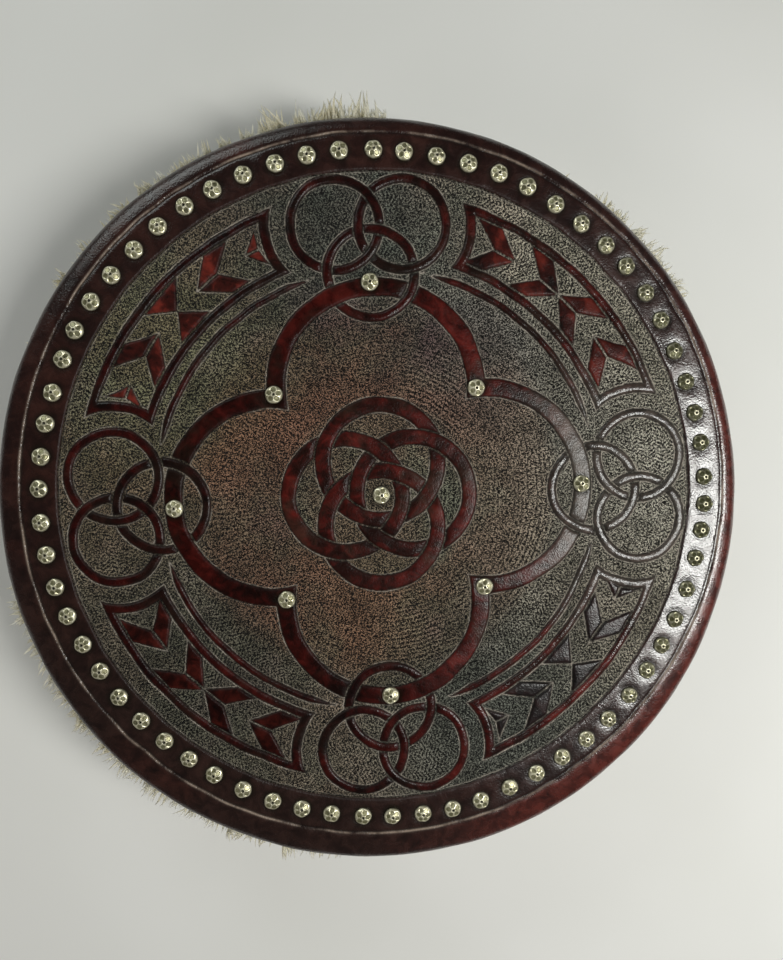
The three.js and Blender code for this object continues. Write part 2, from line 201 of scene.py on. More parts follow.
class PanelBorder:
    kind = "border"
    hw = 2.6

    def __init__(self, mid):
        self.mid, self.under = mid, []
        q = int(round((mid - 45) / 90))
        self.ends = [TRIO[q][1][:2], TRIO[(q + 3) % 4][0][:2]]

    def region(self, x, y, inset, endinset):
        r = np.hypot(x, y)
        d = np.maximum(r - (PANEL["rout"] - inset), (PANEL["rin"] + inset) - r)
        for c in self.ends:
            d = np.maximum(d, PANEL["ends"] + endinset - np.hypot(x - c[0], y - c[1]))
        a = np.degrees(np.arctan2(y, x)) - self.mid
        a = np.abs((a + 180) % 360 - 180)
        return np.where(a < 33.0, d, 999.0)

    def sd(self, x, y):
        return np.maximum(self.region(x, y, 0, 0), -self.region(x, y, PANEL["border"], PANEL["endborder"]))

    def rows(self, offs, step):
        for o in offs:
            for inset, ends in ((-o, -o), (PANEL["border"] + o, PANEL["endborder"] + o)):
                for r in (PANEL["rout"] - inset, PANEL["rin"] + inset):
                    n = int(math.radians(56) * r / step)
                    a = np.radians(self.mid + np.linspace(-28, 28, n))
                    p = np.stack([r * np.cos(a), r * np.sin(a)], 1)
                    yield p[np.abs(self.region(p[:, 0], p[:, 1], inset, ends)) < 0.05]
                for c in self.ends:
                    rr = PANEL["ends"] + ends
                    n = int(2 * math.pi * rr / step)
                    a = np.arange(n) * 2 * math.pi / n
                    p = np.stack([c[0] + rr * np.cos(a), c[1] + rr * np.sin(a)], 1)
                    yield p[np.abs(self.region(p[:, 0], p[:, 1], inset, ends)) < 0.05]


class Poly:
    kind = "lozenge"
    hw = 3.0

    def __init__(self, pts):
        p = np.array(pts, float)
        area = 0.5 * np.sum(p[:, 0] * np.roll(p[:, 1], -1) - np.roll(p[:, 0], -1) * p[:, 1])
        self.p = p if area > 0 else p[::-1]
        self.under = []

    def sd(self, x, y):
        d = np.full(np.shape(x), -99.0)
        for a, b in zip(self.p, np.roll(self.p, -1, 0)):
            e = (b - a) / np.hypot(*(b - a))
            d = np.maximum(d, (x - a[0]) * e[1] - (y - a[1]) * e[0])
        return d

    def rows(self, offs, step):
        for o in offs:
            lines = []
            for a, b in zip(self.p, np.roll(self.p, -1, 0)):
                e = (b - a) / np.hypot(*(b - a))
                lines.append((a + o * np.array([e[1], -e[0]]), e))
            m = len(lines)
            corner = []
            for i in range(m):
                (a, e), (b, f) = lines[i - 1], lines[i]
                den = e[0] * f[1] - e[1] * f[0]
                s = ((b[0] - a[0]) * f[1] - (b[1] - a[1]) * f[0]) / den
                corner.append(a + s * e)
            for a, b in zip(corner, corner[1:] + corner[:1]):
                n = max(2, int(np.hypot(*(b - a)) / step))
                t = np.linspace(0, 1, n, endpoint=False)[:, None]
                yield a + (b - a) * t


def build_strands():
    out = []
    cen = [Ring((x, y), r, CENTRE["hw"], "knot") for x, y, r in KNOT]
    for q, own in enumerate(cen):
        left, facing, right = cen[(q + 1) % 4], cen[(q + 2) % 4], cen[(q + 3) % 4]
        own.under = [(right, near(crossings(own, right), *rot((60, 60), q))),
                     (facing, near(crossings(own, facing), *rot((-31, 0), q))),
                     (left, near(crossings(own, left), *rot((13, -13), q)))]
    out += cen
    qf = Quatrefoil()
    for q in range(4):
        L, R, I = [Ring((x, y), r, SIDE["hw"], "ring") for x, y, r in TRIO[q]]
        lobe = qf.lobes[q]
        at = lambda a, b, x, y: near(crossings(a, b), *rot((x, y), q))
        L.under = [(I, at(I, L, 6, 179)), (I, at(I, L, -29, 154))]
        R.under = [(L, at(L, R, 0, 203)), (L, at(L, R, 0, 163))]
        I.under = [(R, at(I, R, -6, 179)), (R, at(I, R, 29, 154)), (lobe, at(I, lobe, -26, 137))]
        qf.under.append((I, at(I, lobe, 26, 137)))
        out += [L, R, I]
    out.append(qf)
    for k in range(4):
        mid = 45 + 90 * k
        out.append(PanelBorder(mid))
        out.append(CircleBand(mid))
        m, d, h, w, s = CH["mid"], CH["divide"], CH["half"], CH["width"], CH["slant"]
        for side in (1, -1):
            for v in (1, -1):
                P = lambda a, dr: pol(mid + side * a, m + v * dr)
                for a in ([6.5] if k % 2 else [0.4, 12.2]):
                    out.append(Poly([P(a, d), P(a + w, d), P(a + w + s, h), P(a + s, h)]))
                if k % 2:
                    e = -1.5 if (k == 3 and side == 1) else -0.4
                    out.append(Poly([P(19.2 + e, d), P(21.7 + e, d), P(22.5 + e, 0.74 * h)]))
        if k % 2:
            for v in (1, -1):
                out.append(Poly([pol(mid, m + v * d), pol(mid + 4.6, m + v * h), pol(mid - 4.6, m + v * h)]))
    return out


STRANDS = build_strands()

nails = [(x, y) for x, y in FIELD]
for a, r in RIM_NAILS:
    nails.append(pol(a, r))
NAIL_XY = np.array(nails)


def smooth(t):
    t = np.clip(t, 0, 1)
    return t * t * (3 - 2 * t)


def wavy(x, y, seed, scale, n=10):
    g = np.random.default_rng(seed)
    out = np.zeros(len(x))
    for _ in range(n):
        a, f, p = g.uniform(0, 2 * math.pi), g.uniform(0.5, 1.6) / scale, g.uniform(0, 6.28)
        out += np.sin((x * math.cos(a) + y * math.sin(a)) * f * 2 * math.pi + p)
    return out / math.sqrt(n)


def relief(x, y):
    """height over the face plane and the masks, in mm, for points of the face"""
    n = len(x)
    wx = x + 0.28 * wavy(x, y, 1, 34)
    wy = y + 0.28 * wavy(x, y, 2, 34)
    best = np.full(n, 99.0)
    which = np.full(n, -1)
    dip = np.zeros(n)
    cutline = np.full(n, 99.0)
    for k, s in enumerate(STRANDS):
        d = s.sd(wx, wy)
        mydip = np.zeros(n)
        for o, p in s.under:
            loc = np.hypot(wx - p[0], wy - p[1]) < (s.hw + o.hw) * 1.9 + 4
            od = o.sd(wx, wy)
            d = np.where(loc, np.maximum(d, -(od - 1.3)), d)
            mydip = np.maximum(mydip, np.where(loc, np.exp(-np.maximum(od, 0) / 3.4), 0))
        take = d < best
        best = np.where(take, d, best)
        which = np.where(take, k, which)
        dip = np.where(take, mydip, dip)
    r = np.hypot(x, y)
    rr = np.hypot(wx, wy)
    rim_d = RIM_IN - rr                       # < 0 on the rim
    kinds = np.array([s.kind for s in STRANDS])
    kind = kinds[which]
    on = smooth((0.30 - best) / 0.75)
    on_rim = smooth((0.4 - rim_d) / 0.9)
    ground = -1.25 + 0.13 * wavy(x, y, 3, 9) + 0.12 * wavy(x, y, 4, 4)
    ground += 0.34 * np.exp(-((best - 1.15) / 0.55) ** 2)
    ground -= 0.30 * np.exp(-((best - 0.45) / 0.35) ** 2)
    ground += 0.30 * np.exp(-((rim_d - 1.3) / 0.6) ** 2)
    ground -= 0.30 * np.exp(-((rim_d - 0.5) / 0.45) ** 2)
    hw = np.array([s.hw for s in STRANDS])[which]
    u = np.clip(1 + best / hw, 0, 1)
    dome = np.where(hw < 5, 0.80 * u ** 2.4, 0.50 * np.exp(np.minimum(best, 0) / 0.75))
    dome = np.where(kind == "lozenge", 0.55 * np.exp(np.minimum(best, 0) / 0.8), dome)
    top = -0.05 - dome - 0.60 * dip + 0.07 * wavy(x, y, 5, 14)
    z = ground * (1 - on) + top * on
    rim_top = -0.35 * np.exp(np.minimum(rim_d, 0) / 1.4) + 0.09 * wavy(x, y, 6, 26)
    g = rr - GROOVE_R
    rim_top -= 0.85 * np.exp(-(g / 0.85) ** 2)
    rim_top += 0.20 * np.exp(-((g - 1.9) / 0.9) ** 2)
    z = z * (1 - on_rim) + rim_top * on_rim
    nd = np.full(n, 99.0)
    for a in NAIL_XY:
        nd = np.minimum(nd, np.hypot(x - a[0], y - a[1]))
    z -= 0.40 * np.exp(-(np.maximum(nd - 5.6, 0) / 2.2) ** 2) * (on_rim + (1 - on_rim) * on)
    dists = {
        "sd": np.clip(best, -5, 6),
        "rd": np.clip(rim_d, -6, 8),
        "gd": np.clip(g, -6, 6),
        "nd": np.clip(nd, 0, 14),
        "loz": (kind == "lozenge") * 1.0,
        "thin": np.isin(kind, ("thin", "ring", "border")) * 1.0,
        "dip": dip,
    }
    return z, dists


# ------------------------------------------------------------------ helpers
def mesh_object(name, verts, faces, attrs=None, smooth_shade=True):
    me = bpy.data.meshes.new(name)
    verts = np.asarray(verts, np.float32)
    faces = np.asarray(faces, np.int32)
    k = faces.shape[1]
    me.vertices.add(len(verts))
    me.vertices.foreach_set("co", verts.ravel())
    me.loops.add(faces.size)
    me.loops.foreach_set("vertex_index", faces.ravel())
    me.polygons.add(len(faces))
    me.polygons.foreach_set("loop_start", np.arange(0, faces.size, k, dtype=np.int32))
    me.polygons.foreach_set("loop_total", np.full(len(faces), k, np.int32))
    me.update(calc_edges=True)
    me.validate()
    if smooth_shade:
        me.polygons.foreach_set("use_smooth", np.ones(len(me.polygons), bool))
    for key, val in (attrs or {}).items():
        a = me.attributes.new(key, "FLOAT", "POINT")
        a.data.foreach_set("value", np.asarray(val, np.float32))
    ob = bpy.data.objects.new(name, me)
    bpy.context.scene.collection.objects.link(ob)
    return ob


def grid_faces(rows, cols, closed=True, start=0):
    i = np.arange(rows - 1)[:, None] * cols
    j = np.arange(cols if closed else cols - 1)[None, :]
    j2 = (j + 1) % cols
    a, b, c, d = i + j, i + j2, i + cols + j2, i + cols + j
    return np.stack([a, b, c, d], -1).reshape(-1, 4) + start


# ------------------------------------------------------------------ leather
def face_points():
    pts = []
    offs = (-1.5, -0.55, 0.1, 0.66, 1.35)
    for s in STRANDS:
        for row in s.rows(offs, 1.3):
            if len(row):
                pts.append(row)
    for rr in (RIM_IN - 2.2, RIM_IN - 1.3, RIM_IN - 0.6, RIM_IN - 0.1, RIM_IN + 0.45, RIM_IN + 1.6, RIM_IN + 4,
               GROOVE_R - 1.9, GROOVE_R - 0.9, GROOVE_R, GROOVE_R + 0.9):
        n = int(2 * math.pi * rr / 1.5)
        a = np.arange(n) * 2 * math.pi / n + rr
        pts.append(np.stack([rr * np.cos(a), rr * np.sin(a)], 1))
    for nx, ny in NAIL_XY:
        for rr, n in ((4.2, 10), (5.9, 18), (7.6, 18), (9.6, 16)):
            a = np.arange(n) * 2 * math.pi / n
            pts.append(np.stack([nx + rr * np.cos(a), ny + rr * np.sin(a)], 1))
    step = 3.0
    g = np.arange(-260, 260, step)
    X, Y = np.meshgrid(g, g * 0.866)
    X = X + (np.arange(len(g))[:, None] % 2) * step / 2
    P = np.stack([X.ravel(), Y.ravel()], 1) + RNG.uniform(-0.3, 0.3, (X.size, 2))
    pts.append(P)
    P = np.concatenate(pts)
    P = P[np.hypot(P[:, 0], P[:, 1]) < FACE_EDGE - 0.7]
    # first come, first kept, in cells of 0.5 mm and their neighbours' shifted grid
    for sh in (0.0, 0.25):
        key = np.floor((P + sh) / 0.5).astype(np.int64)
        _, first = np.unique(key[:, 0] * 100000 + key[:, 1], return_index=True)
        P = P[np.sort(first)]
    return P


def build_leather():
    P = face_points()
    N = 480
    a = np.arange(N) * 2 * math.pi / N
    hull = np.stack([FACE_EDGE * np.cos(a), FACE_EDGE * np.sin(a)], 1)
    allp = np.concatenate([hull, P])
    coords, _, tris, _, _, _ = delaunay_2d_cdt([Vector((float(p[0]), float(p[1]))) for p in allp], [], [], 0, 1e-4)
    C = np.array([(c.x, c.y) for c in coords])
    T = np.array([t for t in tris], np.int64)
    v0, v1, v2 = C[T[:, 0]], C[T[:, 1]], C[T[:, 2]]
    cross = (v1[:, 0] - v0[:, 0]) * (v2[:, 1] - v0[:, 1]) - (v1[:, 1] - v0[:, 1]) * (v2[:, 0] - v0[:, 0])
    T[cross < 0] = T[cross < 0][:, ::-1]
    T = T[np.abs(cross) > 1e-6]
    z, masks = relief(C[:, 0], C[:, 1])
    nface = len(C)
    # the face's outer ring of points, in order
    ring_idx = np.where(np.hypot(C[:, 0], C[:, 1]) > FACE_EDGE - 0.01)[0]
    ang = np.arctan2(C[ring_idx, 1], C[ring_idx, 0]) % (2 * math.pi)
    ring_idx = ring_idx[np.argsort(ang)]
    assert len(ring_idx) == N, len(ring_idx)
    th = np.sort(ang)
    # round the edge and onto the back
    zm = (Z_HIDE + Z_FACE) / 2 - Z_FACE
    zb = Z_HIDE - Z_FACE
    prof = [(246.4, -0.10), (248.6, -0.55), (250.8, -1.35), (252.7, -2.5), (254.3, -4.0), (255.6, -5.9), (256.5, -8.0),
            (256.8, zm - 0.6), (256.5, zm - 3.2), (255.7, zb + 4.4), (254.3, zb + 2.5), (252.2, zb + 1.0),
            (249.6, zb + 0.25), (246.0, zb + 0.05), (240.0, zb + 0.05), (230.0, zb + 0.05), (222.6, zb + 0.1),
            (221.1, zb + 0.7), (220.9, zb + 1.6), (221.3, zb + 2.6), (223.0, zb + HIDE_T)]
    rows = []
    for k, (pr, pz) in enumerate(prof):
        w = smooth((pr - 243.5) / 12.0) if k < 9 else smooth((pr - 236.0) / 18.0)
        wob = 0.5 * np.sin(5 * th + 1) + 0.35 * np.sin(11 * th + 2.2) + 0.25 * np.sin(23 * th + 0.4)
        lump = 0.22 * np.sin(37 * th + pz) + 0.16 * np.sin(61 * th + 1.7 * pz)
        rad = pr + w * (0.45 * wob + grow(th)) + (0.35 * lump if k > 2 else 0)
        x = rad * np.cos(th) + w * EDGE_SHIFT[0]
        y = rad * np.sin(th) + w * EDGE_SHIFT[1]
        rows.append(np.stack([x, y, np.full(N, pz) + (0.12 * lump if k < 6 else 0)], 1))
    R = np.concatenate(rows)
    verts = np.concatenate([np.stack([C[:, 0], C[:, 1], z], 1), R])
    verts[:, 2] += Z_FACE
    q = []
    idx = np.arange(N)
    nx = (idx + 1) % N
    prev = ring_idx
    for k in range(len(prof)):
        cur = nface + k * N + idx
        q.append(np.stack([prev, cur, cur[nx]], 1))
        q.append(np.stack([prev, cur[nx], prev[nx]], 1))
        prev = cur
    faces = np.concatenate([T] + q)
    outer = len(R)
    far = {"sd": 6.0, "rd": -6.0, "gd": 6.0, "nd": 14.0}
    attrs = {k: np.concatenate([v, np.full(outer, far.get(k, 0.0))]) for k, v in masks.items()}
    attrs["outer"] = np.concatenate([np.zeros(nface), np.ones(outer)])
    return mesh_object("tooled_leather_cover", verts * MM, faces, attrs)


# ------------------------------------------------------------------ materials
def material(name):
    m = bpy.data.materials.new(name)
    m.use_nodes = True
    nt = m.node_tree
    nt.nodes.clear()
    out = nt.nodes.new("ShaderNodeOutputMaterial")
    bsdf = nt.nodes.new("ShaderNodeBsdfPrincipled")
    nt.links.new(bsdf.outputs[0], out.inputs[0])
    return m, nt, bsdf


class NT:
    def __init__(self, nt):
        self.nt = nt

    def node(self, kind, **props):
        n = self.nt.nodes.new(kind)
        for k, v in props.items():
            setattr(n, k, v)
        return n

    def put(self, sock, v):
        if isinstance(v, bpy.types.NodeSocket):
            self.nt.links.new(v, sock)
        else:
            sock.default_value = v

    def attr(self, name):
        return self.node("ShaderNodeAttribute", attribute_name=name).outputs["Fac"]

    def math(self, op, a, b=0.0, c=0.0, clamp=False):
        n = self.node("ShaderNodeMath", operation=op, use_clamp=clamp)
        for i, v in enumerate((a, b, c)):
            self.put(n.inputs[i], v)
        return n.outputs[0]

    def mix(self, f, a, b, kind="MIX"):
        n = self.node("ShaderNodeMix", data_type="RGBA", blend_type=kind)
        self.put(n.inputs[0], f)
        for sock, v in ((n.inputs[6], a), (n.inputs[7], b)):
            if isinstance(v, tuple) and len(v) == 3:
                v = (*v, 1)
            self.put(sock, v)
        return n.outputs[2]

    def ramp(self, f, stops, interp="LINEAR"):
        n = self.node("ShaderNodeValToRGB")
        n.color_ramp.interpolation = interp
        els = n.color_ramp.elements
        while len(els) < len(stops):
            els.new(0.5)
        for e, (p, c) in zip(els, stops):
            e.position = p
            e.color = (c, c, c, 1) if isinstance(c, (int, float)) else (*c, 1)
        self.put(n.inputs[0], f)
        return n.outputs[0]

    def noise(self, vec, scale, detail=4, rough=0.55, dist=0.0):
        n = self.node("ShaderNodeTexNoise")
        if vec is not None:
            self.put(n.inputs["Vector"], vec)
        n.inputs["Scale"].default_value = scale
        n.inputs["Detail"].default_value = detail
        n.inputs["Roughness"].default_value = rough
        n.inputs["Distortion"].default_value = dist
        return n.outputs["Fac"]

    def voronoi(self, vec, scale, feature="F1", out="Distance", rand=1.0):
        n = self.node("ShaderNodeTexVoronoi", feature=feature)
        self.put(n.inputs["Vector"], vec)
        n.inputs["Scale"].default_value = scale
        n.inputs["Randomness"].default_value = rand
        return n.outputs[out]

    def coords(self):
        return self.node("ShaderNodeTexCoord").outputs["Object"]

    def bump(self, height, strength, dist, normal=None):
        n = self.node("ShaderNodeBump")
        n.inputs["Strength"].default_value = strength
        n.inputs["Distance"].default_value = dist
        self.put(n.inputs["Height"], height)
        if normal is not None:
            self.put(n.inputs["Normal"], normal)
        return n.outputs[0]

    def mapr(self, v, a, b, c, d):
        n = self.node("ShaderNodeMapRange")
        self.put(n.inputs[0], v)
        for i, x in enumerate((a, b, c, d)):
            n.inputs[i + 1].default_value = x
        return n.outputs[0]


def leather_material():
    m, nt, bsdf = material("tooled_leather")
    t = NT(nt)
    co = t.coords()
    sd, rd, gd, nd, loz, thin, dip, outer = [t.attr(k) for k in ("sd", "rd", "gd", "nd", "loz", "thin", "dip", "outer")]
    sep = t.node("ShaderNodeSeparateXYZ")
    t.put(sep.inputs[0], co)
    x, y = sep.outputs[0], sep.outputs[1]
    lit = t.mapr(t.math("ADD", x, t.math("MULTIPLY", y, -0.25)), 0.045, 0.135, 0.0, 1.0)
    r = t.math("SQRT", t.math("ADD", t.math("MULTIPLY", x, x), t.math("MULTIPLY", y, y)))
    th = t.math("ARCTAN2", y, x)
    # the hand's unsteadiness along every tooled edge
    shake = t.mapr(t.noise(co, 420, 3, 0.6), 0.2, 0.8, -0.28, 0.28)
    sdw = t.math("ADD", sd, shake)
    rdw = t.math("ADD", rd, shake)

    def bell(v, c, w):
        q = t.math("DIVIDE", t.math("SUBTRACT", v, c), w)
        return t.math("DIVIDE", 1.0, t.math("ADD", 1.0, t.math("POWER", t.math("ABSOLUTE", q), 3.0)))

    on = t.mapr(sdw, -0.15, 0.35, 1.0, 0.0)
    rim = t.mapr(rdw, -0.15, 0.3, 1.0, 0.0)
    off_rim = t.math("SUBTRACT", 1.0, rim)
    band = t.math("MULTIPLY", on, off_rim)
    lip = t.math("MAXIMUM", bell(sdw, 0.78, 0.26), t.math("MULTIPLY", bell(rdw, 1.1, 0.36), 0.55))
    lip = t.math("MULTIPLY", lip, off_rim)
    ditch = t.math("MULTIPLY", t.math("MAXIMUM", bell(sdw, 0.25, 0.34), bell(rdw, 0.45, 0.45)), off_rim)
    groove = t.math("MULTIPLY", bell(gd, 0.0, 0.7), rim)
    nail_halo_shade = t.mapr(nd, 5.4, 9.6, 1.0, 0.0)
    # rows of tool marks that follow the circle: arc length against radius
    def toolrows(pitch, along, seed):
        idx = t.math("FLOOR", t.math("DIVIDE", r, pitch))
        arc = t.math("MULTIPLY", t.math("MULTIPLY", th, idx), pitch)
        cx = t.math("DIVIDE", arc, along)
        cx = t.math("ADD", cx, t.math("MULTIPLY", idx, seed))
        cy = t.math("DIVIDE", r, pitch)
        comb = t.node("ShaderNodeCombineXYZ")
        t.put(comb.inputs[0], cx)
        t.put(comb.inputs[1], cy)
        return t.voronoi(comb.outputs[0], 1.0, rand=0.55)
    rows = toolrows(0.0021, 0.0013, 0.37)
    pits = t.voronoi(co, 700, rand=1.0)
    fine = t.noise(co, 1400, 1, 0.7)
    grit = t.noise(co, 930, 2, 0.8)
    patch = t.noise(co, 13, 4, 0.6)
    streak = t.noise(co, 90, 5, 0.65, 0.6)
    mottle = t.noise(co, 34, 4, 0.65)
    # lines of blows: round the middle within the lobes, herring-bone outside them
    wob = t.math("MULTIPLY", t.math("SUBTRACT", t.noise(co, 55, 2, 0.5), 0.5), 0.0045)
    rw = t.math("ADD", r, wob)
    round_l = t.math("COSINE", t.math("MULTIPLY", rw, 6.2832 / 0.0031))
    lane = t.math("DIVIDE", rw, 0.0056)
    lane_i = t.math("FLOOR", lane)
    lane_f = t.math("SUBTRACT", lane, lane_i)
    flip = t.math("SUBTRACT", t.math("MULTIPLY", t.math("MODULO", lane_i, 2.0), 2.0), 1.0)
    bone = t.math("ADD", t.math("MULTIPLY", t.math("MULTIPLY", th, lane_i), 0.0056 / 0.0027),
                  t.math("MULTIPLY", t.math("MULTIPLY", flip, lane_f), 1.15))
    bone_l = t.math("COSINE", t.math("MULTIPLY", bone, 6.2832))
    spoke_l = t.math("COSINE", t.math("MULTIPLY", t.math("ADD", th, t.math("MULTIPLY", wob, 9.0)), 210.0))
    outer_g = t.mapr(r, 0.118, 0.140, 0.0, 1.0)
    side = t.mapr(t.math("ADD", x, t.math("MULTIPLY", t.noise(co, 16, 2, 0.5), 0.10)), 0.035, 0.085, 0.0, 1.0)

    def fmix(f, a, b):
        n = t.node("ShaderNodeMix", data_type="FLOAT")
        t.put(n.inputs[0], f)
        t.put(n.inputs[2], a)
        t.put(n.inputs[3], b)
        return n.outputs[0]
    blows = fmix(outer_g, fmix(side, t.math("MULTIPLY", spoke_l, 0.55), round_l), bone_l)
    region = t.mapr(t.noise(co, 17, 2, 0.5), 0.40, 0.60, 0.35, 1.0)
    blows = t.math("MULTIPLY", blows, region)
    stip = t.math("ADD", t.math("MULTIPLY", blows, 0.21), t.math("MULTIPLY", t.math("SUBTRACT", rows, 0.42), 0.45))
    stip = t.math("ADD", stip, t.math("MULTIPLY", t.math("SUBTRACT", pits, 0.5), 0.35))
    stip = t.math("ADD", stip, t.math("MULTIPLY", t.math("SUBTRACT", grit, 0.5), 3.2))
    fleck = t.math("MULTIPLY", t.math("SUBTRACT", fine, 0.5), 3.0)
    speck = t.math("ADD", 0.462, t.math("ADD", t.math("MULTIPLY", stip, 1.22), fleck))
    # the beaten ground
    g_tone = t.ramp(speck, [(0.20, (0.0022, 0.0013, 0.0009)), (0.46, (0.0110, 0.0070, 0.0050)),
                            (0.60, (0.043, 0.0305, 0.0213)), (0.84, (0.45, 0.360, 0.260))])
    warm = t.ramp(patch, [(0.34, (1.16, 0.89, 0.79)), (0.46, (1.12, 0.94, 0.85)), (0.56, (0.93, 0.98, 0.89)), (0.66, (1.04, 0.88, 0.95))])
    ground = t.mix(1.0, g_tone, warm, "MULTIPLY")
    # painted light: the ground is tinted cooler and greyer towards the right, a painted cast of the cool light from
    # that side; the outer ring of ground gets about half that tint all round
    cool = t.ramp(mottle, [(0.35, (0.86, 1.00, 1.06)), (0.65, (0.98, 1.14, 1.26))])
    cool_cast = t.mapr(t.math("ADD", x, t.math("MULTIPLY", y, -0.25)), 0.0, 0.16, 0.0, 1.0)
    cool_cast = t.math("ADD", cool_cast, t.math("MULTIPLY", outer_g, t.mapr(t.math("SUBTRACT", x, y), -0.22, 0.0, 0.50, 0.55)), clamp=True)
    ground = t.mix(cool_cast, ground, t.mix(1.0, g_tone, cool, "MULTIPLY"))
    # random mottled tone, times a painted brightening of the ground towards the right, where the light falls
    tone_and_painted_light = t.mapr(mottle, 0.3, 0.7, 0.50, 0.88)
    tone_and_painted_light = t.math("MULTIPLY", tone_and_painted_light, t.math("ADD", 1.0, t.math("MULTIPLY", t.mapr(
        t.math("ADD", x, t.math("MULTIPLY", y, 0.35)), 0.02, 0.17, 0.0, 1.0), 0.95)))
    sh = t.node("ShaderNodeCombineXYZ")
    for i in range(3):
        t.put(sh.inputs[i], tone_and_painted_light)
    ground = t.mix(1.0, ground, sh.outputs[0], "MULTIPLY")
    # painted warm cast: the inner ground left of the middle is made redder, the side away from the cool light on the
    # right
    warm_cast = t.math("MULTIPLY", t.math("SUBTRACT", 1.0, outer_g), t.mapr(x, 0.02, 0.10, 1.0, 0.0))
    ground = t.mix(warm_cast, ground, t.mix(1.0, ground, (1.0, 0.86, 0.86), "MULTIPLY"))
    eyes = t.mapr(r, 0.058, 0.068, 0.9, 0.0)
    ground = t.mix(eyes, ground, t.mix(1.0, ground, (0.84, 1.12, 1.16), "MULTIPLY"))
    # darker and lighter patches over the ground, each a tint that fades out from its middle
    for cx, cy, size, tint in ((0.0, 0.180, 0.090, (0.52, 0.64, 0.72)), (-0.135, -0.125, 0.090, (0.58, 0.63, 0.62)),
                               (0.075, -0.165, 0.080, (0.62, 0.70, 0.74)), (0.188, 0.0, 0.080, (1.10, 1.13, 1.18)),
                               (0.0, -0.085, 0.062, (1.00, 1.06, 1.00)), (0.055, 0.095, 0.055, (0.78, 0.80, 0.92)),
                               (-0.15, 0.10, 0.090, (0.98, 1.08, 0.88)), (0.105, 0.060, 0.070, (0.74, 0.75, 0.78)),
                               (0.150, -0.085, 0.055, (0.86, 0.84, 0.84)),
                               (-0.19, 0.0, 0.065, (0.90, 0.82, 0.74))):
        dx = t.math("SUBTRACT", x, cx)
        dy = t.math("SUBTRACT", y, cy)
        away = t.math("SQRT", t.math("ADD", t.math("MULTIPLY", dx, dx), t.math("MULTIPLY", dy, dy)))
        away = t.math("ADD", away, t.math("MULTIPLY", t.math("SUBTRACT", mottle, 0.5), 0.05))
        near = t.mapr(away, size * 0.35, size * 1.25, 1.0, 0.0)
        ground = t.mix(near, ground, t.mix(1.0, ground, tint, "MULTIPLY"))
    # dyed strands
    b_tone = t.ramp(t.math("ADD", t.math("MULTIPLY", patch, 0.5), t.math("MULTIPLY", streak, 0.5)),
                    [(0.34, (0.0050, 0.0024, 0.0017)), (0.44, (0.015, 0.0036, 0.0026)), (0.53, (0.052, 0.0058, 0.0042)),
                     (0.64, (0.120, 0.0130, 0.0090))])
    dull = t.mapr(t.noise(co, 28, 3, 0.6), 0.50, 0.62, 0.0, 0.8)
    b_tone = t.mix(dull, b_tone, t.ramp(streak, [(0.3, (0.009, 0.0050, 0.0034)), (0.7, (0.034, 0.018, 0.012))]))
    l_tone = t.ramp(t.math("ADD", t.math("MULTIPLY", mottle, 0.5), t.math("MULTIPLY", streak, 0.5)),
                    [(0.38, (0.009, 0.0040, 0.0034)), (0.49, (0.040, 0.0074, 0.0056)), (0.60, (0.135, 0.0190, 0.0125))])
    # painted sheen: by the right of the rim the strands are turned grey, standing in for the glare of the light from
    # that side
    right_strand_sheen = t.math("MULTIPLY", t.mapr(x, 0.100, 0.135, 0.0, 0.82), t.mapr(t.math("ABSOLUTE", t.math("ADD", y, 0.008)), 0.065, 0.10, 1.0, 0.0))
    b_tone = t.mix(right_strand_sheen, b_tone, t.ramp(streak, [(0.3, (0.024, 0.0205, 0.0170)), (0.7, (0.085, 0.076, 0.063))]))
    grey_se = t.mapr(t.math("SUBTRACT", t.math("MULTIPLY", x, 0.75), t.math("MULTIPLY", y, 0.66)), 0.10, 0.17, 0.0, 0.62)
    l_tone = t.mix(grey_se, l_tone, t.ramp(streak, [(0.3, (0.012, 0.0110, 0.0120)), (0.7, (0.040, 0.034, 0.036))]))
    strand = t.mix(loz, b_tone, l_tone)
    depth = fmix(loz, fmix(t.math("MULTIPLY", t.mapr(r, 0.065, 0.085, 0.0, 1.0), t.mapr(x, 0.0, 0.09, 1.0, 0.0)), 1.12, 0.52),
                 t.math("MULTIPLY", t.mapr(y, -0.14, 0.08, 0.30, 1.05), t.mapr(x, 0.0, 0.12, 1.0, 0.68)))
    depth = t.math("MULTIPLY", depth, fmix(t.math("MULTIPLY", thin, t.math("SUBTRACT", 1.0, loz)), 1.0, 0.80))
    dp = t.node("ShaderNodeCombineXYZ")
    for i in range(3):
        t.put(dp.inputs[i], depth)
    strand = t.mix(1.0, strand, dp.outputs[0], "MULTIPLY")
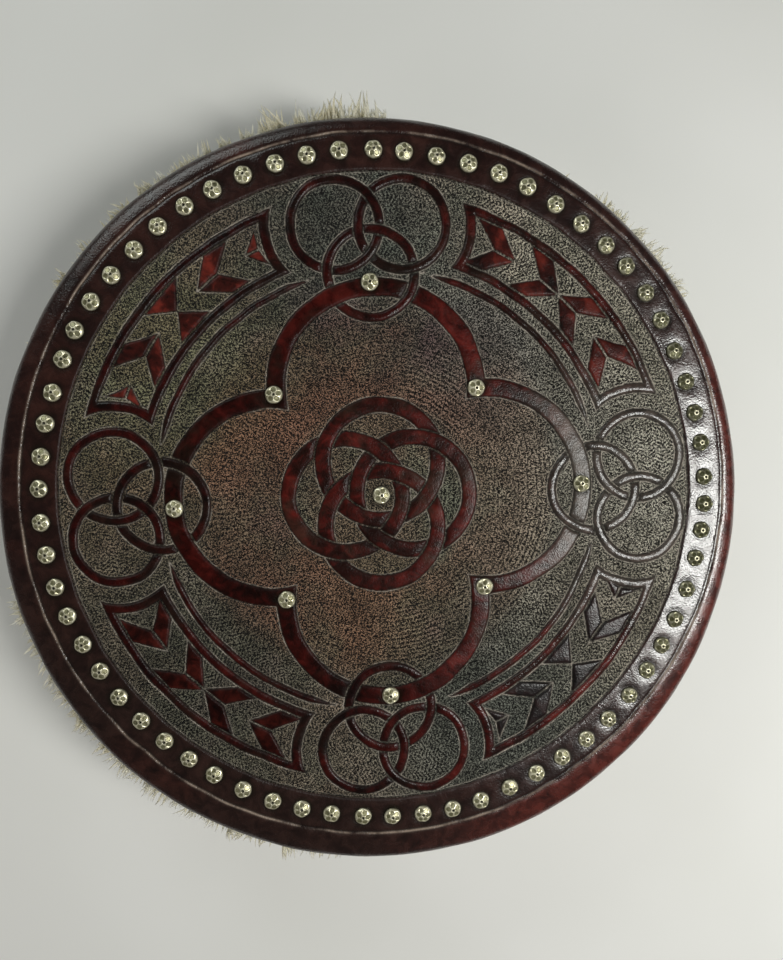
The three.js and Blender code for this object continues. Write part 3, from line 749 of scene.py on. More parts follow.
    # painted shade where a strand dips under the one that crosses it
    strand = t.mix(t.math("MULTIPLY", dip, 0.6), strand, (0.004, 0.002, 0.0016))
    col = t.mix(band, ground, strand)
    rim_tone = t.ramp(t.math("ADD", t.math("MULTIPLY", patch, 0.5), t.math("MULTIPLY", streak, 0.5)),
                      [(0.30, (0.0050, 0.0025, 0.0020)), (0.46, (0.014, 0.0052, 0.0040)), (0.60, (0.030, 0.010, 0.0070)),
                       (0.75, (0.065, 0.026, 0.017))])
    red = t.mapr(t.math("ADD", t.math("MULTIPLY", x, 0.88), t.math("MULTIPLY", y, -0.47)), 0.10, 0.23, 0.0, 1.0)
    red = t.math("ADD", red, t.mapr(t.noise(co, 9, 3, 0.6), 0.54, 0.70, 0.0, 0.55), clamp=True)
    rim_red = t.ramp(streak, [(0.3, (0.014, 0.0032, 0.0024)), (0.7, (0.125, 0.0185, 0.0105))])
    rim_tone = t.mix(t.math("MULTIPLY", t.math("MULTIPLY", red, t.mapr(gd, 0.5, 3.5, 0.0, 1.0)), 0.85), rim_tone, rim_red)
    # painted shade: the rim is darkened towards the lower left, the side away from the light
    low_left_rim_shade = t.mapr(t.math("ADD", t.math("MULTIPLY", x, -0.6), t.math("MULTIPLY", y, -0.8)), 0.12, 0.22, 0.0, 0.75)
    rim_tone = t.mix(low_left_rim_shade, rim_tone, t.ramp(streak, [(0.3, (0.0075, 0.0040, 0.0032)), (0.7, (0.026, 0.0130, 0.0100))]))
    col = t.mix(rim, col, rim_tone)
    # painted shade in the cut beside every strand, at the rim's step and in the rim's groove
    col = t.mix(t.math("MULTIPLY", ditch, 0.70), col, (0.0035, 0.0024, 0.0020))
    col = t.mix(t.math("MULTIPLY", groove, 0.6), col, (0.004, 0.0026, 0.002))
    # pale line along every tooled edge: partly burnished wear, partly a painted highlight, made brighter towards the
    # lit right side
    wear_and_highlight = t.math("MULTIPLY", lip, t.mapr(t.noise(co, 60, 4, 0.75), 0.40, 0.62, 0.10, 1.0))
    wear_and_highlight = t.math("MULTIPLY", wear_and_highlight, t.math("ADD", 0.72, t.math("MULTIPLY", lit, 0.28)))
    col = t.mix(wear_and_highlight, col, (0.68, 0.60, 0.51))
    # painted highlight: a patchy pale line along the outer edge of the rim's groove
    groove_edge_highlight = t.math("MULTIPLY", t.math("MULTIPLY", bell(gd, 1.0, 0.5), rim), t.mapr(t.noise(co, 38, 4, 0.7), 0.38, 0.60, 0.0, 0.8))
    col = t.mix(groove_edge_highlight, col, (0.30, 0.23, 0.18))
    # painted shade: the leather darkened in a ring round each nail head
    col = t.mix(t.math("MULTIPLY", nail_halo_shade, t.mapr(mottle, 0.3, 0.7, 0.55, 0.95)), col, (0.0055, 0.0048, 0.0022))
    nt.links.new(col, bsdf.inputs["Base Color"])
    # gloss
    b_rg = fmix(thin, t.mapr(streak, 0.3, 0.7, 0.24, 0.36), t.mapr(streak, 0.3, 0.7, 0.17, 0.27))
    rg = fmix(band, t.mapr(fine, 0.3, 0.7, 0.30, 0.52), b_rg)
    rg = fmix(rim, rg, t.mapr(streak, 0.3, 0.7, 0.20, 0.33))
    edges = t.math("MULTIPLY", t.math("MAXIMUM", bell(sd, 0.2, 0.9), bell(rd, 0.2, 1.0)), fmix(lit, 1.0, 0.35))
    rg = fmix(edges, rg, 0.62)
    nt.links.new(rg, bsdf.inputs["Roughness"])
    wide_spec = fmix(loz, fmix(lit, 0.13, 0.34), fmix(t.math("MULTIPLY", lit, t.mapr(y, 0.0, 0.06, 1.0, 0.0)), 0.12, 0.34))
    gloss = fmix(rim, fmix(band, 0.38, fmix(thin, wide_spec, fmix(lit, 0.28, 0.42))), fmix(lit, 0.44, 0.85))
    nt.links.new(fmix(edges, gloss, 0.16), bsdf.inputs["Specular IOR Level"])
    # the tooled edge's own shape, then the beaten ground, then the grain
    soft = t.math("SUBTRACT", 1.0, t.math("MAXIMUM", band, rim))
    edge_h = t.math("SUBTRACT", lip, t.math("MULTIPLY", ditch, 1.2))
    n0 = t.bump(edge_h, 0.9, 0.00045)
    n1 = t.bump(t.math("MULTIPLY", stip, soft), 1.0, 0.0010, n0)
    grain = t.math("ADD", t.math("MULTIPLY", t.voronoi(co, 900, rand=1.0), 0.5), t.math("MULTIPLY", streak, 0.9))
    grain = t.math("ADD", grain, t.math("MULTIPLY", t.noise(co, 26, 3, 0.5), 3.0))
    n2 = t.bump(grain, 0.36, 0.0007, n1)
    nt.links.new(n2, bsdf.inputs["Normal"])
    return m


def nail_material():
    m, nt, bsdf = material("antique_nail_brass")
    t = NT(nt)
    co = t.coords()
    lx, ly, kk = t.attr("lx"), t.attr("ly"), t.attr("kk")
    rho = t.math("SQRT", t.math("ADD", t.math("MULTIPLY", lx, lx), t.math("MULTIPLY", ly, ly)))
    ang = t.math("ADD", t.math("ARCTAN2", ly, lx), 6.2832)
    sector = t.math("DIVIDE", 6.2832, kk)
    w = t.mapr(kk, 5.0, 6.0, 1.92, 1.70)
    a = t.math("SUBTRACT", t.math("MODULO", t.math("ADD", ang, t.math("MULTIPLY", sector, 0.5)), sector), t.math("MULTIPLY", sector, 0.5))
    dx = t.math("SUBTRACT", t.math("MULTIPLY", rho, t.math("COSINE", a)), 3.45)
    dy = t.math("MULTIPLY", rho, t.math("SINE", a))
    d = t.math("SQRT", t.math("ADD", t.math("MULTIPLY", dx, dx), t.math("MULTIPLY", dy, dy)))
    dish = t.mapr(t.math("SUBTRACT", d, w), -0.55, 0.0, 1.0, 0.0)
    n = t.noise(co, 320, 4, 0.6)
    tarn = t.noise(co, 38, 2, 0.5)
    base = t.ramp(n, [(0.3, (0.46, 0.42, 0.26)), (0.6, (0.82, 0.78, 0.58)), (0.85, (0.93, 0.90, 0.74))])
    # dark olive in the hammered hollows: partly patina, partly painted shade that makes the shallow hollows look deeper
    hollow = t.ramp(t.math("ADD", t.math("MULTIPLY", n, 0.6), t.math("MULTIPLY", tarn, 0.4)),
                    [(0.35, (0.045, 0.046, 0.016)), (0.5, (0.15, 0.145, 0.060)), (0.65, (0.36, 0.34, 0.19))])
    col = t.mix(t.math("MULTIPLY", dish, 0.85), base, hollow)
    # painted shade: the punched middle and the head's edge darkened almost black
    mid = t.mapr(rho, 0.75, 1.25, 1.0, 0.0)
    head_edge_shade = t.mapr(rho, 5.45, 6.0, 0.0, 0.75)
    col = t.mix(t.math("MAXIMUM", mid, head_edge_shade), col, (0.012, 0.011, 0.004))
    sx = t.node("ShaderNodeSeparateXYZ")
    t.put(sx.inputs[0], co)
    # painted reflection: nails towards the right are darkened olive, standing in for the dark surroundings their domes
    # reflect on that side; less so in the middle
    right_nail_dark_reflection = t.mapr(t.math("ADD", sx.outputs[0], t.math("MULTIPLY", tarn, 0.05)), 0.13, 0.25, 0.0, 0.80)
    col = t.mix(t.math("MULTIPLY", right_nail_dark_reflection, t.mapr(rho, 0.6, 2.4, 0.15, 1.0)), col, (0.040, 0.042, 0.014))
    nt.links.new(col, bsdf.inputs["Base Color"])
    bsdf.inputs["Metallic"].default_value = 0.6
    nt.links.new(t.mapr(n, 0.3, 0.7, 0.26, 0.42), bsdf.inputs["Roughness"])
    h = t.math("MULTIPLY", dish, -1.0)
    nt.links.new(t.bump(t.noise(co, 900, 3, 0.6), 0.25, 0.0003, t.bump(h, 0.8, 0.0004)), bsdf.inputs["Normal"])
    return m


def wool_material(name, through):
    m, nt, bsdf = material(name)
    t = NT(nt)
    co = t.coords()
    n = t.noise(co, 60, 4, 0.6)
    f = t.noise(co, 1100, 3, 0.6)
    col = t.ramp(t.math("ADD", t.math("MULTIPLY", n, 0.7), t.math("MULTIPLY", f, 0.3)),
                 [(0.3, (0.93, 0.88, 0.71)), (0.5, (0.985, 0.965, 0.87)), (0.75, (0.995, 0.99, 0.95))])
    nt.links.new(col, bsdf.inputs["Base Color"])
    bsdf.inputs["Roughness"].default_value = 0.85
    bsdf.inputs["Sheen Weight"].default_value = 0.35
    bsdf.inputs["Sheen Roughness"].default_value = 0.5
    bsdf.inputs["Subsurface Weight"].default_value = 0.0
    curl = t.noise(co, 190, 3, 0.6, 2.2)
    nt.links.new(t.bump(f, 0.45, 0.0005, t.bump(curl, 0.50, 0.0026)), bsdf.inputs["Normal"])
    thin = t.node("ShaderNodeBsdfTranslucent")
    nt.links.new(col, thin.inputs["Color"])
    both = t.node("ShaderNodeMixShader")
    both.inputs[0].default_value = through
    nt.links.new(bsdf.outputs[0], both.inputs[1])
    nt.links.new(thin.outputs[0], both.inputs[2])
    out = [n for n in nt.nodes if n.type == "OUTPUT_MATERIAL"][0]
    nt.links.new(both.outputs[0], out.inputs[0])
    return m


def strap_material():
    m, nt, bsdf = material("strap_leather")
    t = NT(nt)
    co = t.coords()
    n = t.noise(co, 40, 5, 0.6)
    s = t.noise(co, 260, 4, 0.65)
    col = t.ramp(t.math("ADD", t.math("MULTIPLY", n, 0.6), t.math("MULTIPLY", s, 0.4)),
                 [(0.3, (0.030, 0.010, 0.006)), (0.55, (0.085, 0.030, 0.016)), (0.8, (0.17, 0.075, 0.042))])
    edge = t.attr("edge")
    col = t.mix(t.math("MULTIPLY", edge, 0.6), col, (0.02, 0.008, 0.005))
    nt.links.new(col, bsdf.inputs["Base Color"])
    nt.links.new(t.mapr(s, 0.3, 0.7, 0.38, 0.6), bsdf.inputs["Roughness"])
    g = t.voronoi(co, 700, rand=1.0)
    nt.links.new(t.bump(t.math("ADD", g, t.math("MULTIPLY", s, 0.7)), 0.35, 0.0005), bsdf.inputs["Normal"])
    return m


def thread_material():
    m, nt, bsdf = material("waxed_thread")
    t = NT(nt)
    n = t.noise(t.coords(), 2500, 3, 0.6)
    nt.links.new(t.ramp(n, [(0.3, (0.30, 0.22, 0.12)), (0.7, (0.58, 0.47, 0.30))]), bsdf.inputs["Base Color"])
    bsdf.inputs["Roughness"].default_value = 0.6
    nt.links.new(t.bump(n, 0.5, 0.0003), bsdf.inputs["Normal"])
    return m


def wood_material():
    m, nt, bsdf = material("planed_softwood")
    t = NT(nt)
    mp = t.node("ShaderNodeMapping")
    mp.inputs["Scale"].default_value = (1.0, 14.0, 1.0)
    t.put(mp.inputs[0], t.coords())
    n = t.noise(mp.outputs[0], 14, 6, 0.6, 0.8)
    nt.links.new(t.ramp(n, [(0.3, (0.36, 0.22, 0.11)), (0.6, (0.56, 0.38, 0.21)), (0.8, (0.66, 0.49, 0.30))]),
                 bsdf.inputs["Base Color"])
    bsdf.inputs["Roughness"].default_value = 0.65
    nt.links.new(t.bump(n, 0.3, 0.0006), bsdf.inputs["Normal"])
    return m


# ------------------------------------------------------------------ nails
def nail_mesh(seed):
    """a domed head with a punched middle and a ring of five or six hollows"""
    g = np.random.default_rng(seed)
    R, H = 6.05, 3.0
    na, nr = 44, 15
    k = 6 if g.random() < 0.55 else 5
    ph = g.uniform(0, 2 * math.pi)
    a = np.arange(na) * 2 * math.pi / na
    radii = np.array([0.0, 0.08, 0.16, 0.23, 0.31, 0.39, 0.47, 0.55, 0.63, 0.71, 0.79, 0.86, 0.92, 0.97, 1.0])
    lump = 1 + 0.022 * np.sin(3 * a + g.uniform(0, 6)) + 0.030 * np.cos(k * (a - ph))
    w = 1.70 if k == 6 else 1.92
    centres = [(3.45 * math.cos(ph + 2 * math.pi * i / k), 3.45 * math.sin(ph + 2 * math.pi * i / k)) for i in range(k)]
    rows = []
    for f in radii:
        rr = R * f * (1 + (lump - 1) * f)
        x, y = rr * np.cos(a), rr * np.sin(a)
        z = np.full(na, H * np.maximum(1 - (f * 0.985) ** 2.6, 0.0) ** 0.8)
        z = z - 0.75 * np.exp(-((x ** 2 + y ** 2) / 0.80 ** 2) ** 1.5)
        for cx, cy in centres:
            z = z - 0.45 * np.exp(-(np.hypot(x - cx, y - cy) / w) ** 4)
        rows.append(np.stack([x, y, z], 1))
    V = np.concatenate(rows[1:])
    V = np.concatenate([V, rows[0][:1], np.stack([R * np.cos(a), R * np.sin(a), np.full(na, -0.3)], 1)])
    c, s_ = math.cos(-ph), math.sin(-ph)
    at = {"lx": V[:, 0] * c - V[:, 1] * s_, "ly": V[:, 0] * s_ + V[:, 1] * c, "kk": np.full(len(V), float(k))}
    m = (nr - 1) * na
    F = []
    for i in range(nr - 2):
        for j in range(na):
            j2 = (j + 1) % na
            A, B, C, D = i * na + j, i * na + j2, (i + 1) * na + j2, (i + 1) * na + j
            F += [(A, D, C), (A, C, B)]
    for j in range(na):
        j2 = (j + 1) % na
        F.append((m, j, j2))
        A, B = (nr - 2) * na + j, (nr - 2) * na + j2
        C, D = m + 1 + j2, m + 1 + j
        F += [(A, D, C), (A, C, B)]
    return V, np.array(F), at


def build_nails(mat):
    names = ["centre", "north", "west", "south", "east", "northeast", "northwest", "southwest", "southeast"]
    for k, (x, y) in enumerate(nails):
        V, F, at = nail_mesh(100 + k)
        g = np.random.default_rng(500 + k)
        tilt = Matrix.Rotation(g.uniform(-0.06, 0.06), 3, "X") @ Matrix.Rotation(g.uniform(-0.06, 0.06), 3, "Y")
        V = V @ np.array(tilt).T
        base = Z_FACE - (CARVE if k == 0 else 0.05)
        V = V + np.array([x, y, base])
        ring = k - 9
        name = f"nail_head_{names[k]}" if k < 9 else f"nail_head_rim_{ring + 1:02d}"
        ob = mesh_object(name, V * MM, F, at)
        ob.data.materials.append(mat)
        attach(ob, "root")
        if k < 9:
            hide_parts(f"field_nail_{names[k]}")
        elif ring % 3 != 2:
            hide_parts(f"rim_nail_{ring + 1:02d}")


# ------------------------------------------------------------------ wool
def unit(v):
    return v / np.linalg.norm(v, axis=1, keepdims=True)


def locks(base, heart, direction, length, width, phase, turns, amp, seg=6, gather=0.6):
    """wavy strands of wool as closed three-sided horns, each drawn towards its tuft's heart line"""
    n = len(base)
    direction = unit(direction)
    ref = np.where(np.abs(direction[:, 2:3]) < 0.9, np.array([[0, 0, 1.0]]), np.array([[1.0, 0, 0]]))
    u = unit(np.cross(direction, ref))
    v = np.cross(direction, u)
    off0 = base - heart
    rings = []
    for i in range(seg + 1):
        f = i / seg
        w = width * (1 - f ** 1.6) ** 0.8 * 0.5
        wave = (amp * length * f ** 0.8)[:, None]
        ang = (phase + turns * 6.283 * f)[:, None]
        c = heart + off0 * (1 - gather * f) + direction * (length * f)[:, None] + wave * (np.cos(ang) * u + np.sin(ang) * v)
        if i == seg:
            rings.append(c)
        else:
            for s in range(3):
                a = (2 * math.pi * s / 3 + phase)[:, None]
                rings.append(c + w[:, None] * (np.cos(a) * u + np.sin(a) * v))
    V = np.stack(rings, 1)
    per = seg * 3 + 1
    F = []
    for i in range(seg - 1):
        for s in range(3):
            a, b = i * 3 + s, i * 3 + (s + 1) % 3
            F += [(a, b, b + 3), (a, b + 3, a + 3)]
    for s in range(3):
        F.append(((seg - 1) * 3 + s, (seg - 1) * 3 + (s + 1) % 3, per - 1))
    F.append((2, 1, 0))
    F = np.array(F)
    faces = (F[None] + (np.arange(n) * per)[:, None, None]).reshape(-1, 3)
    return V.reshape(-1, 3), faces


def tufts(heart, direction, length, count, radius, width, g, turns=(0.5, 1.2), amp=(0.06, 0.16), fan=0.16, seg=6, gather=0.6):
    """tufts of count strands each"""
    n = len(heart)
    idx = np.repeat(np.arange(n), count)
    m = len(idx)
    off = g.normal(0, 1, (m, 3)) * radius * 0.5
    off[:, 2] *= 0.5
    d = unit(direction)[idx] + g.normal(0, fan, (m, 3))
    ph = g.uniform(0, 2 * math.pi, n)[idx] + g.normal(0, 0.5, m)
    tu = g.uniform(*turns, n)[idx] * g.choice([-1, 1], n)[idx] + g.normal(0, 0.06, m)
    am = g.uniform(*amp, n)[idx] * g.uniform(0.7, 1.3, m)
    L = length[idx] * g.uniform(0.55, 1.05, m)
    W = width * g.uniform(0.6, 1.25, m)
    return locks(heart[idx] + off, heart[idx], d, L, W, ph, tu, am, seg, gather)


def fringe_length(deg):
    """how far the wool shows past the rim, mm, round the disc"""
    L = np.full(len(deg), 0.0)
    for c, half, h in ((91, 4, 13), (97, 5, 14), (103, 4, 7), (112, 5, 5), (122, 5, 4), (133, 5, 3), (141, 3, 5),
                       (151, 6, 2), (34, 4, 3), (40, 4, 5), (46, 4, 3), (58, 5, 2), (198, 7, 4), (208, 8, 6),
                       (218, 8, 7), (228, 8, 8), (238, 8, 7), (248, 7, 5), (257, 6, 3)):
        d = np.abs((deg - c + 180) % 360 - 180)
        L = np.maximum(L, h * smooth(1.6 - d / half))
    return L


def build_fleece(mat, fringe_mat):
    g = np.random.default_rng(21)
    # the skin's woolly body
    nr, na = 64, 300
    prof = []
    for i in range(nr):
        f = i / (nr - 1)
        if f < 0.8:
            prof.append((248 * (f / 0.8) ** 0.8, 4.4))
        else:
            a = (f - 0.8) / 0.2
            ang = math.pi * a
            prof.append((246.5 + 4.6 * math.sin(ang), 7.7 - 3.5 * math.cos(ang)))
    th = np.arange(na) * 2 * math.pi / na
    rows = []
    for pr, pz in prof:
        x, y = pr * np.cos(th), pr * np.sin(th)
        lump = 0.55 * wavy(x, y, 31, 12) + 0.45 * wavy(x, y, 32, 6)
        rows.append(np.stack([x, y, np.full(na, pz) + np.clip(lump, -1.3, 1.3)], 1))
    V = np.concatenate(rows)
    V[:, 2] = np.clip(V[:, 2], 0.2, 11.7) + Z_FLEECE
    F = grid_faces(nr, na)[:, ::-1]
    T = np.concatenate([F[:, [0, 1, 2]], F[:, [0, 2, 3]]])
    # curly tufts all over the back
    n = 560
    i = np.arange(n) + 0.5
    rad = 249 * np.sqrt(i / n)
    ang = i * 2.399963 + g.normal(0, 0.02, n)
    rad = np.minimum(rad + g.normal(0, 2.0, n), 250)
    heart = np.stack([rad * np.cos(ang), rad * np.sin(ang), np.full(n, Z_FLEECE + 5.4)], 1)
    swirl = 0.7 * wavy(heart[:, 0], heart[:, 1], 41, 120) * math.pi
    d = np.stack([np.cos(swirl), np.sin(swirl), -g.uniform(0.26, 0.46, n)], 1)
    d[:, :2] += g.normal(0, 0.25, (n, 2))
    V2, F2 = tufts(heart, d, g.uniform(13, 21, n), 8, 9.0, 3.0, g, turns=(0.8, 1.7), amp=(0.09, 0.17), fan=0.24, seg=6)
    V2[:, 2] = np.clip(V2[:, 2], Z_FLEECE - 2.5, Z_FLEECE + 9.0)
    rr = np.hypot(V2[:, 0], V2[:, 1])
    k = np.minimum(1.0, 262.0 / rr)
    V2[:, 0] *= k
    V2[:, 1] *= k
    allV = np.concatenate([V, V2])
    allF = np.concatenate([T, F2 + len(V)])
    ob = mesh_object("woolly_fleece_back", allV * MM, allF)
    ob.data.materials.append(mat)
    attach(ob, "root")
    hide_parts("fleece_back")
    # the fringe past the rim
    n = 560
    deg = np.arange(n) * 360 / n + g.normal(0, 0.20, n)
    show = fringe_length(deg)
    keep = g.uniform(0, 1, n) < np.where(show > 2, 1.0, 0.92)
    deg, show = deg[keep], show[keep]
    n = len(deg)
    a = np.radians(deg)
    r0 = g.uniform(246, 251, n) + 0.75 * (grow(a) + EDGE_SHIFT[0] * np.cos(a) + EDGE_SHIFT[1] * np.sin(a))
    heart = np.stack([r0 * np.cos(a), r0 * np.sin(a), Z_FLEECE + g.uniform(4.0, 10.5, n)], 1)
    spread = a + g.normal(0, 0.30, n)
    up = np.where(show > 2, g.uniform(0.10, 0.42, n), g.uniform(-0.55, 0.0, n))
    d = np.stack([np.cos(spread), np.sin(spread), up], 1)
    even = (deg > 190) & (deg < 264)
    length = 8.5 + np.where(even, 9.2, 7.5) * np.minimum(1.0, show / 3.0) + show * np.where(even, g.uniform(0.75, 1.05, n), g.uniform(0.15, 1.25, n))
    V3, F3 = tufts(heart, d, length, 10, 7.5, 3.6, g, turns=(0.3, 0.9), amp=(0.05, 0.12), fan=0.10, seg=5, gather=0.72)
    V3[:, :2] = np.clip(V3[:, :2], -281.0, 281.0)
    V3[:, 2] = np.clip(V3[:, 2], Z_FLEECE - 3, Z_FACE - 3)
    ob = mesh_object("wool_fringe", V3 * MM, F3)
    ob.data.materials.append(fringe_mat)
    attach(ob, "root")


# ------------------------------------------------------------------ straps
ARM = dict(x=88.0, width=76.0, t=4.0, halfSpan=68.0, foot=40.0, corner=17.0, heel=8.0)
GRIP = dict(x=-112.0, width=32.0, t=6.0, halfSpan=56.0, foot=32.0, corner=19.0, heel=9.0)


def strap_line(s):
    top = Z_FLEECE - FIT
    t, lean = s["t"], 8.0
    out = s["halfSpan"] + lean
    line = [(out + s["heel"] + s["foot"] * f, top - t / 2) for f in np.linspace(1, 0.08, 12)]

    def bend(cx, cz, r, a0, a1, n):
        for i in range(n + 1):
            a = math.radians(a0 + (a1 - a0) * i / n)
            line.append((cx + r * math.cos(a), cz + r * math.sin(a)))
    bend(out + s["heel"], top - t / 2 - s["heel"], s["heel"], 90, 172, 10)
    p, q = line[-1], (s["halfSpan"] - s["corner"] + s["corner"] * math.cos(math.radians(-8)),
                      t / 2 + s["corner"] - s["corner"] * math.sin(math.radians(8)))
    for f in np.linspace(0, 1, 9)[1:-1]:
        line.append((p[0] + (q[0] - p[0]) * f, p[1] + (q[1] - p[1]) * f))
    bend(s["halfSpan"] - s["corner"], t / 2 + s["corner"], s["corner"], -8, -90, 14)
    x0 = line[-1][0]
    for f in np.linspace(1, 0, 12)[1:]:
        line.append((x0 * f, t / 2))
    half = np.array(line)
    other = half[::-1][1:] * np.array([-1, 1])
    return np.concatenate([half, other])


def build_strap(name, node, s, mat, thread, nailmat, grip=False):
    L = strap_line(s)
    n = len(L)
    tan = np.gradient(L, axis=0)
    tan /= np.linalg.norm(tan, axis=1, keepdims=True)
    nor = np.stack([tan[:, 1], -tan[:, 0]], 1)
    arclen = np.concatenate([[0], np.cumsum(np.hypot(*np.diff(L, axis=0).T))])
    tot = arclen[-1]
    w, t = s["width"] / 2, s["t"] / 2
    sec = []
    c = 1.3
    pts = []
    for k in range(9):                       # along the wide side, then the rounded edge
        pts.append((-w + c + (2 * w - 2 * c) * k / 8, t, 0))
    for a in (60, 30, 0, -30, -60):
        pts.append((w - c + c * math.cos(math.radians(a)), (t - c) * np.sign(a) * (1 if a else 0) + c * math.sin(math.radians(a)) * 1.0 if t > c else t * math.sin(math.radians(a)), 1))
    for k in range(9):
        pts.append((w - c - (2 * w - 2 * c) * k / 8, -t, 0))
    for a in (-60, -30, 0, 30, 60):
        pts.append((-w + c - c * math.cos(math.radians(a)), (t - c) * np.sign(a) * (1 if a else 0) + c * math.sin(math.radians(a)) * 1.0 if t > c else t * math.sin(math.radians(a)), 1))
    sec = np.array(pts)
    m = len(sec)
    V, E = [], []
    endround = 9.0
    for i in range(n):
        s_in = min(arclen[i], tot - arclen[i])
        f = 1.0
        if s_in < endround:
            f = 1 - (1 - math.sqrt(max(0.0, 1 - ((endround - s_in) / endround) ** 2))) * (0.32 if not grip else 0.5)
        for (u, v, e) in sec:
            thick = v
            if grip:                         # nothing is changed for the grip here
                pass
            crease = -0.28 * math.exp(-((abs(u) - (w - 4.2)) / 0.8) ** 2) * np.sign(v)
            uu = u * f
            vv = thick + (crease if e == 0 and not grip else 0)
            p = L[i] + nor[i] * vv
            V.append((s["x"] + uu, p[0], p[1]))
            E.append(e)
    V = np.array(V)
    V[:, 2] = np.clip(V[:, 2], 0.0, Z_FLEECE - FIT)
    F = grid_faces(n, m)
    T = np.concatenate([F[:, [0, 1, 2]], F[:, [0, 2, 3]]])
    caps = []
    for i0, flip in ((0, False), ((n - 1) * m, True)):
        for k in range(1, m - 1):
            tri = (i0, i0 + k, i0 + k + 1)
            caps.append(tri if flip else tri[::-1])
    F = np.concatenate([T, np.array(caps)])
    ob = mesh_object(name, V * MM, F, {"edge": np.array(E, float)})
    bm_fix(ob)
    ob.data.materials.append(mat)
    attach(ob, "root")
    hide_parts(node)
    # stitches along both edges, on the outer side
    SV, SF, cnt = [], [], 0
    inset = w - 4.2
    pos = 8.0
    while pos < tot - 8.0:
        for side in (1, -1):
            for face in (1, -1):
                i = int(np.searchsorted(arclen, pos)) - 1
                i = min(max(i, 0), n - 2)
                f = (pos - arclen[i]) / (arclen[i + 1] - arclen[i])
                p = L[i] * (1 - f) + L[i + 1] * f
                tn = tan[i] * (1 - f) + tan[i + 1] * f
                nn = nor[i] * (1 - f) + nor[i + 1] * f
                a, b = capsule(1.9, 0.42)
                for q in a:
                    yz = p + tn * q[0] + nn * (face * (t - 0.10) + q[2] * 0.8)
                    SV.append((s["x"] + side * inset + q[1], yz[0], min(max(yz[1], 0.02), Z_FLEECE - 0.31)))
                SF += [tuple(x + cnt for x in tri) for tri in b]
                cnt += len(a)
        pos += 5.2
    st = mesh_object(name + "_stitching", np.array(SV) * MM, np.array(SF))
    st.data.materials.append(thread)
    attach(st, "root")
    # nails through the feet
    top = Z_FLEECE - FIT - s["t"]
    out = s["halfSpan"] + 8 + s["heel"]
    us = (-w + 11, -w / 3 + 2, w / 3 - 2, w - 11) if not grip else (-w + 9, w - 9)
    AV, AF, AP, cnt = [], [], {"lx": [], "ly": [], "kk": []}, 0
    for sy in (1, -1):
        for yy in (out + s["foot"] * 0.3, out + s["foot"] * 0.74):
            for u in us:
                v, f, p = nail_mesh(int(900 + abs(yy) * 7 + u))
                v = v * np.array([0.8, 0.8, -0.8]) + np.array([s["x"] + u, sy * yy, top])
                AV.append(v)
                AF.append(f[:, ::-1] + cnt)
                for key in AP:
                    AP[key].append(p[key])
                cnt += len(v)
    ns = mesh_object(name + "_nails", np.concatenate(AV) * MM, np.concatenate(AF), {k: np.concatenate(v) for k, v in AP.items()})
    ns.data.materials.append(nailmat)
    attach(ns, "root")


def capsule(half, r, sides=6):
    V, F = [], []
    xs = [(-half, 0.35), (-half * 0.75, 0.85), (0, 1.0), (half * 0.75, 0.85), (half, 0.35)]
    for x, k in xs:
        for j in range(sides):
            a = 2 * math.pi * j / sides
            V.append((x, r * k * math.cos(a), r * k * math.sin(a)))
    for i in range(len(xs) - 1):
        for j in range(sides):
            j2 = (j + 1) % sides
            A, B, C, D = i * sides + j, i * sides + j2, (i + 1) * sides + j2, (i + 1) * sides + j
            F += [(A, B, C), (A, C, D)]
    for j in range(1, sides - 1):
        F.append((0, j + 1, j))
        o = (len(xs) - 1) * sides
        F.append((o, o + j, o + j + 1))
    return V, F


def bm_fix(ob):
    import bmesh
    bm = bmesh.new()
    bm.from_mesh(ob.data)
    bmesh.ops.recalc_face_normals(bm, faces=bm.faces)
    bm.to_mesh(ob.data)
    bm.free()


# ------------------------------------------------------------------ build
cover = build_leather()
cover.data.materials.append(leather_material())
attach(cover, "root")
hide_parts("leather_cover")
brass = nail_material()
build_nails(brass)
build_fleece(wool_material("sheepskin_wool", 0.30), wool_material("sheepskin_fringe", 0.66))
strapm = strap_material()
thread = thread_material()
build_strap("arm_strap_leather", "arm_strap", ARM, strapm, thread, brass)
build_strap("hand_grip_leather", "hand_grip", GRIP, strapm, thread, brass, grip=True)


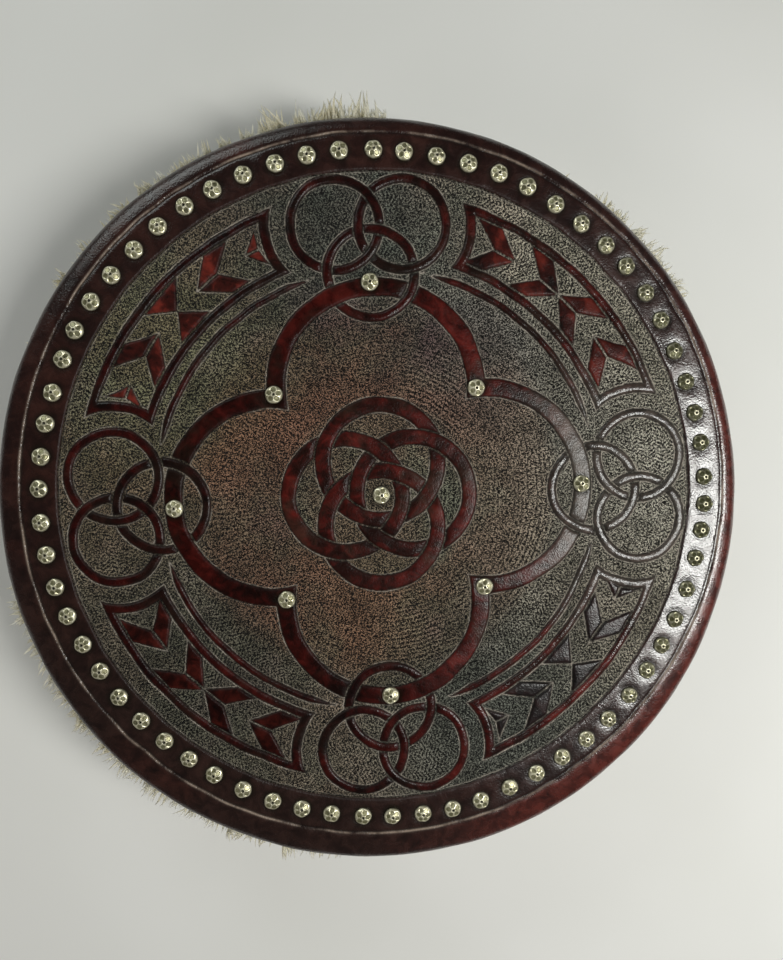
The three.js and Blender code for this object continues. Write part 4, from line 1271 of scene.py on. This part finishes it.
def build_board(mat):
    """the round of planks, drawn as one solid round without the joints of its three wide butted planks, edges eased by
    hand
    """
    N, g = 240, np.random.default_rng(5)
    th = np.arange(N) * 2 * math.pi / N
    z0, z1 = Z_HIDE + HIDE_T + FIT, Z_HIDE + HIDE_T + FIT + BOARD_T
    prof = [(0.0, z1), (60, z1), (120, z1), (180, z1), (225, z1), (244, z1 - 0.1), (247.6, z1 - 0.9), (249.3, z1 - 2.6),
            (249.9, z1 - 6), (249.5, z0 + 3), (248.0, z0 + 0.9), (245, z0 + 0.1), (225, z0), (150, z0), (70, z0), (0.0, z0)]
    V = []
    for pr, pz in prof[1:-1]:
        rad = pr + (0.5 * np.sin(4 * th) + 0.3 * np.sin(9 * th + 1)) * (pr > 200)
        w = min(1.0, pr / 250)
        V.append(np.stack([rad * np.cos(th) + w * EDGE_SHIFT[0], rad * np.sin(th) + w * EDGE_SHIFT[1], np.full(N, pz)], 1))
    V = np.concatenate(V)
    m = len(prof) - 2
    F = grid_faces(m, N)
    T = [np.concatenate([F[:, [0, 2, 1]], F[:, [0, 3, 2]]])]
    top, bot = m * N, m * N + 1
    idx = np.arange(N)
    T.append(np.stack([np.full(N, top), idx, (idx + 1) % N], 1))
    T.append(np.stack([np.full(N, bot), (m - 1) * N + (idx + 1) % N, (m - 1) * N + idx], 1))
    V = np.concatenate([V, [[0, 0, z1]], [[0, 0, z0]]])
    ob = mesh_object("board_of_planks", V * MM, np.concatenate(T))
    bm_fix(ob)
    ob.data.materials.append(mat)
    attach(ob, "root")
    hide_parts("wooden_board")


build_board(wood_material())

# ------------------------------------------------------------------ stage
me = bpy.data.meshes.new("floor")
S = 3.0
me.from_pydata([(-S, -S, 0), (S, -S, 0), (S, S, 0), (-S, S, 0)], [], [(0, 1, 2, 3)])
floor = bpy.data.objects.new("floor", me)
bpy.context.scene.collection.objects.link(floor)
fm, fnt, fb = material("pale_floor")
ft = NT(fnt)
fn = ft.noise(ft.coords(), 3.0, 3, 0.5)
fnt.links.new(ft.ramp(fn, [(0.3, (0.66, 0.66, 0.63)), (0.7, (0.72, 0.72, 0.70))]), fb.inputs["Base Color"])
fb.inputs["Roughness"].default_value = 0.8
me.materials.append(fm)

cam = bpy.data.cameras.new("camera")
cam.lens = 26.25
cam.sensor_width = 36.0
cam.clip_start = 0.01
camo = bpy.data.objects.new("camera", cam)
camo.matrix_world = Matrix(((0.99692698, 0.05585172, -0.05492518, -0.01885),
                            (-0.05211641, 0.99637499, 0.06723664, 0.04135),
                            (0.05848136, -0.06416753, 0.99622410, 0.48148 + 0.0903),
                            (0, 0, 0, 1)))
bpy.context.scene.collection.objects.link(camo)
bpy.context.scene.camera = camo


def area(name, loc, target, size, power, color=(1, 1, 1)):
    li = bpy.data.lights.new(name, "AREA")
    li.shape = "RECTANGLE"
    li.size, li.size_y = size
    li.energy = power
    li.color = color
    o = bpy.data.objects.new(name, li)
    o.location = loc
    d = Vector(target) - Vector(loc)
    o.rotation_euler = d.to_track_quat("-Z", "Y").to_euler()
    bpy.context.scene.collection.objects.link(o)
    return o


area("window_right", (0.67, -0.20, 1.02), (0.20, -0.05, 0.09), (0.27, 0.54), 12.0, (1.0, 1.0, 0.96))
area("window_far", (-0.75, 1.25, 0.80), (0, 0.05, 0.08), (0.9, 0.6), 7.4, (0.94, 1.0, 0.97))
soft_left = area("left_fill", (-1.25, -0.35, 0.70), (0, 0, 0.08), (0.8, 0.8), 4.2, (1.0, 0.96, 0.90))
soft_near = area("near_fill", (0.1, -1.35, 0.75), (0, 0, 0.08), (1.0, 0.6), 3.4, (1.0, 0.98, 0.95))
for o in (soft_left, soft_near):
    o.visible_glossy = False

world = bpy.data.worlds.new("studio")
bpy.context.scene.world = world
world.use_nodes = True
bg = world.node_tree.nodes["Background"]
bg.inputs[0].default_value = (0.92, 0.95, 1.0, 1)
bg.inputs[1].default_value = 0.06
bpy.context.scene.view_settings.view_transform = "Standard"
bpy.context.scene.view_settings.look = "None"
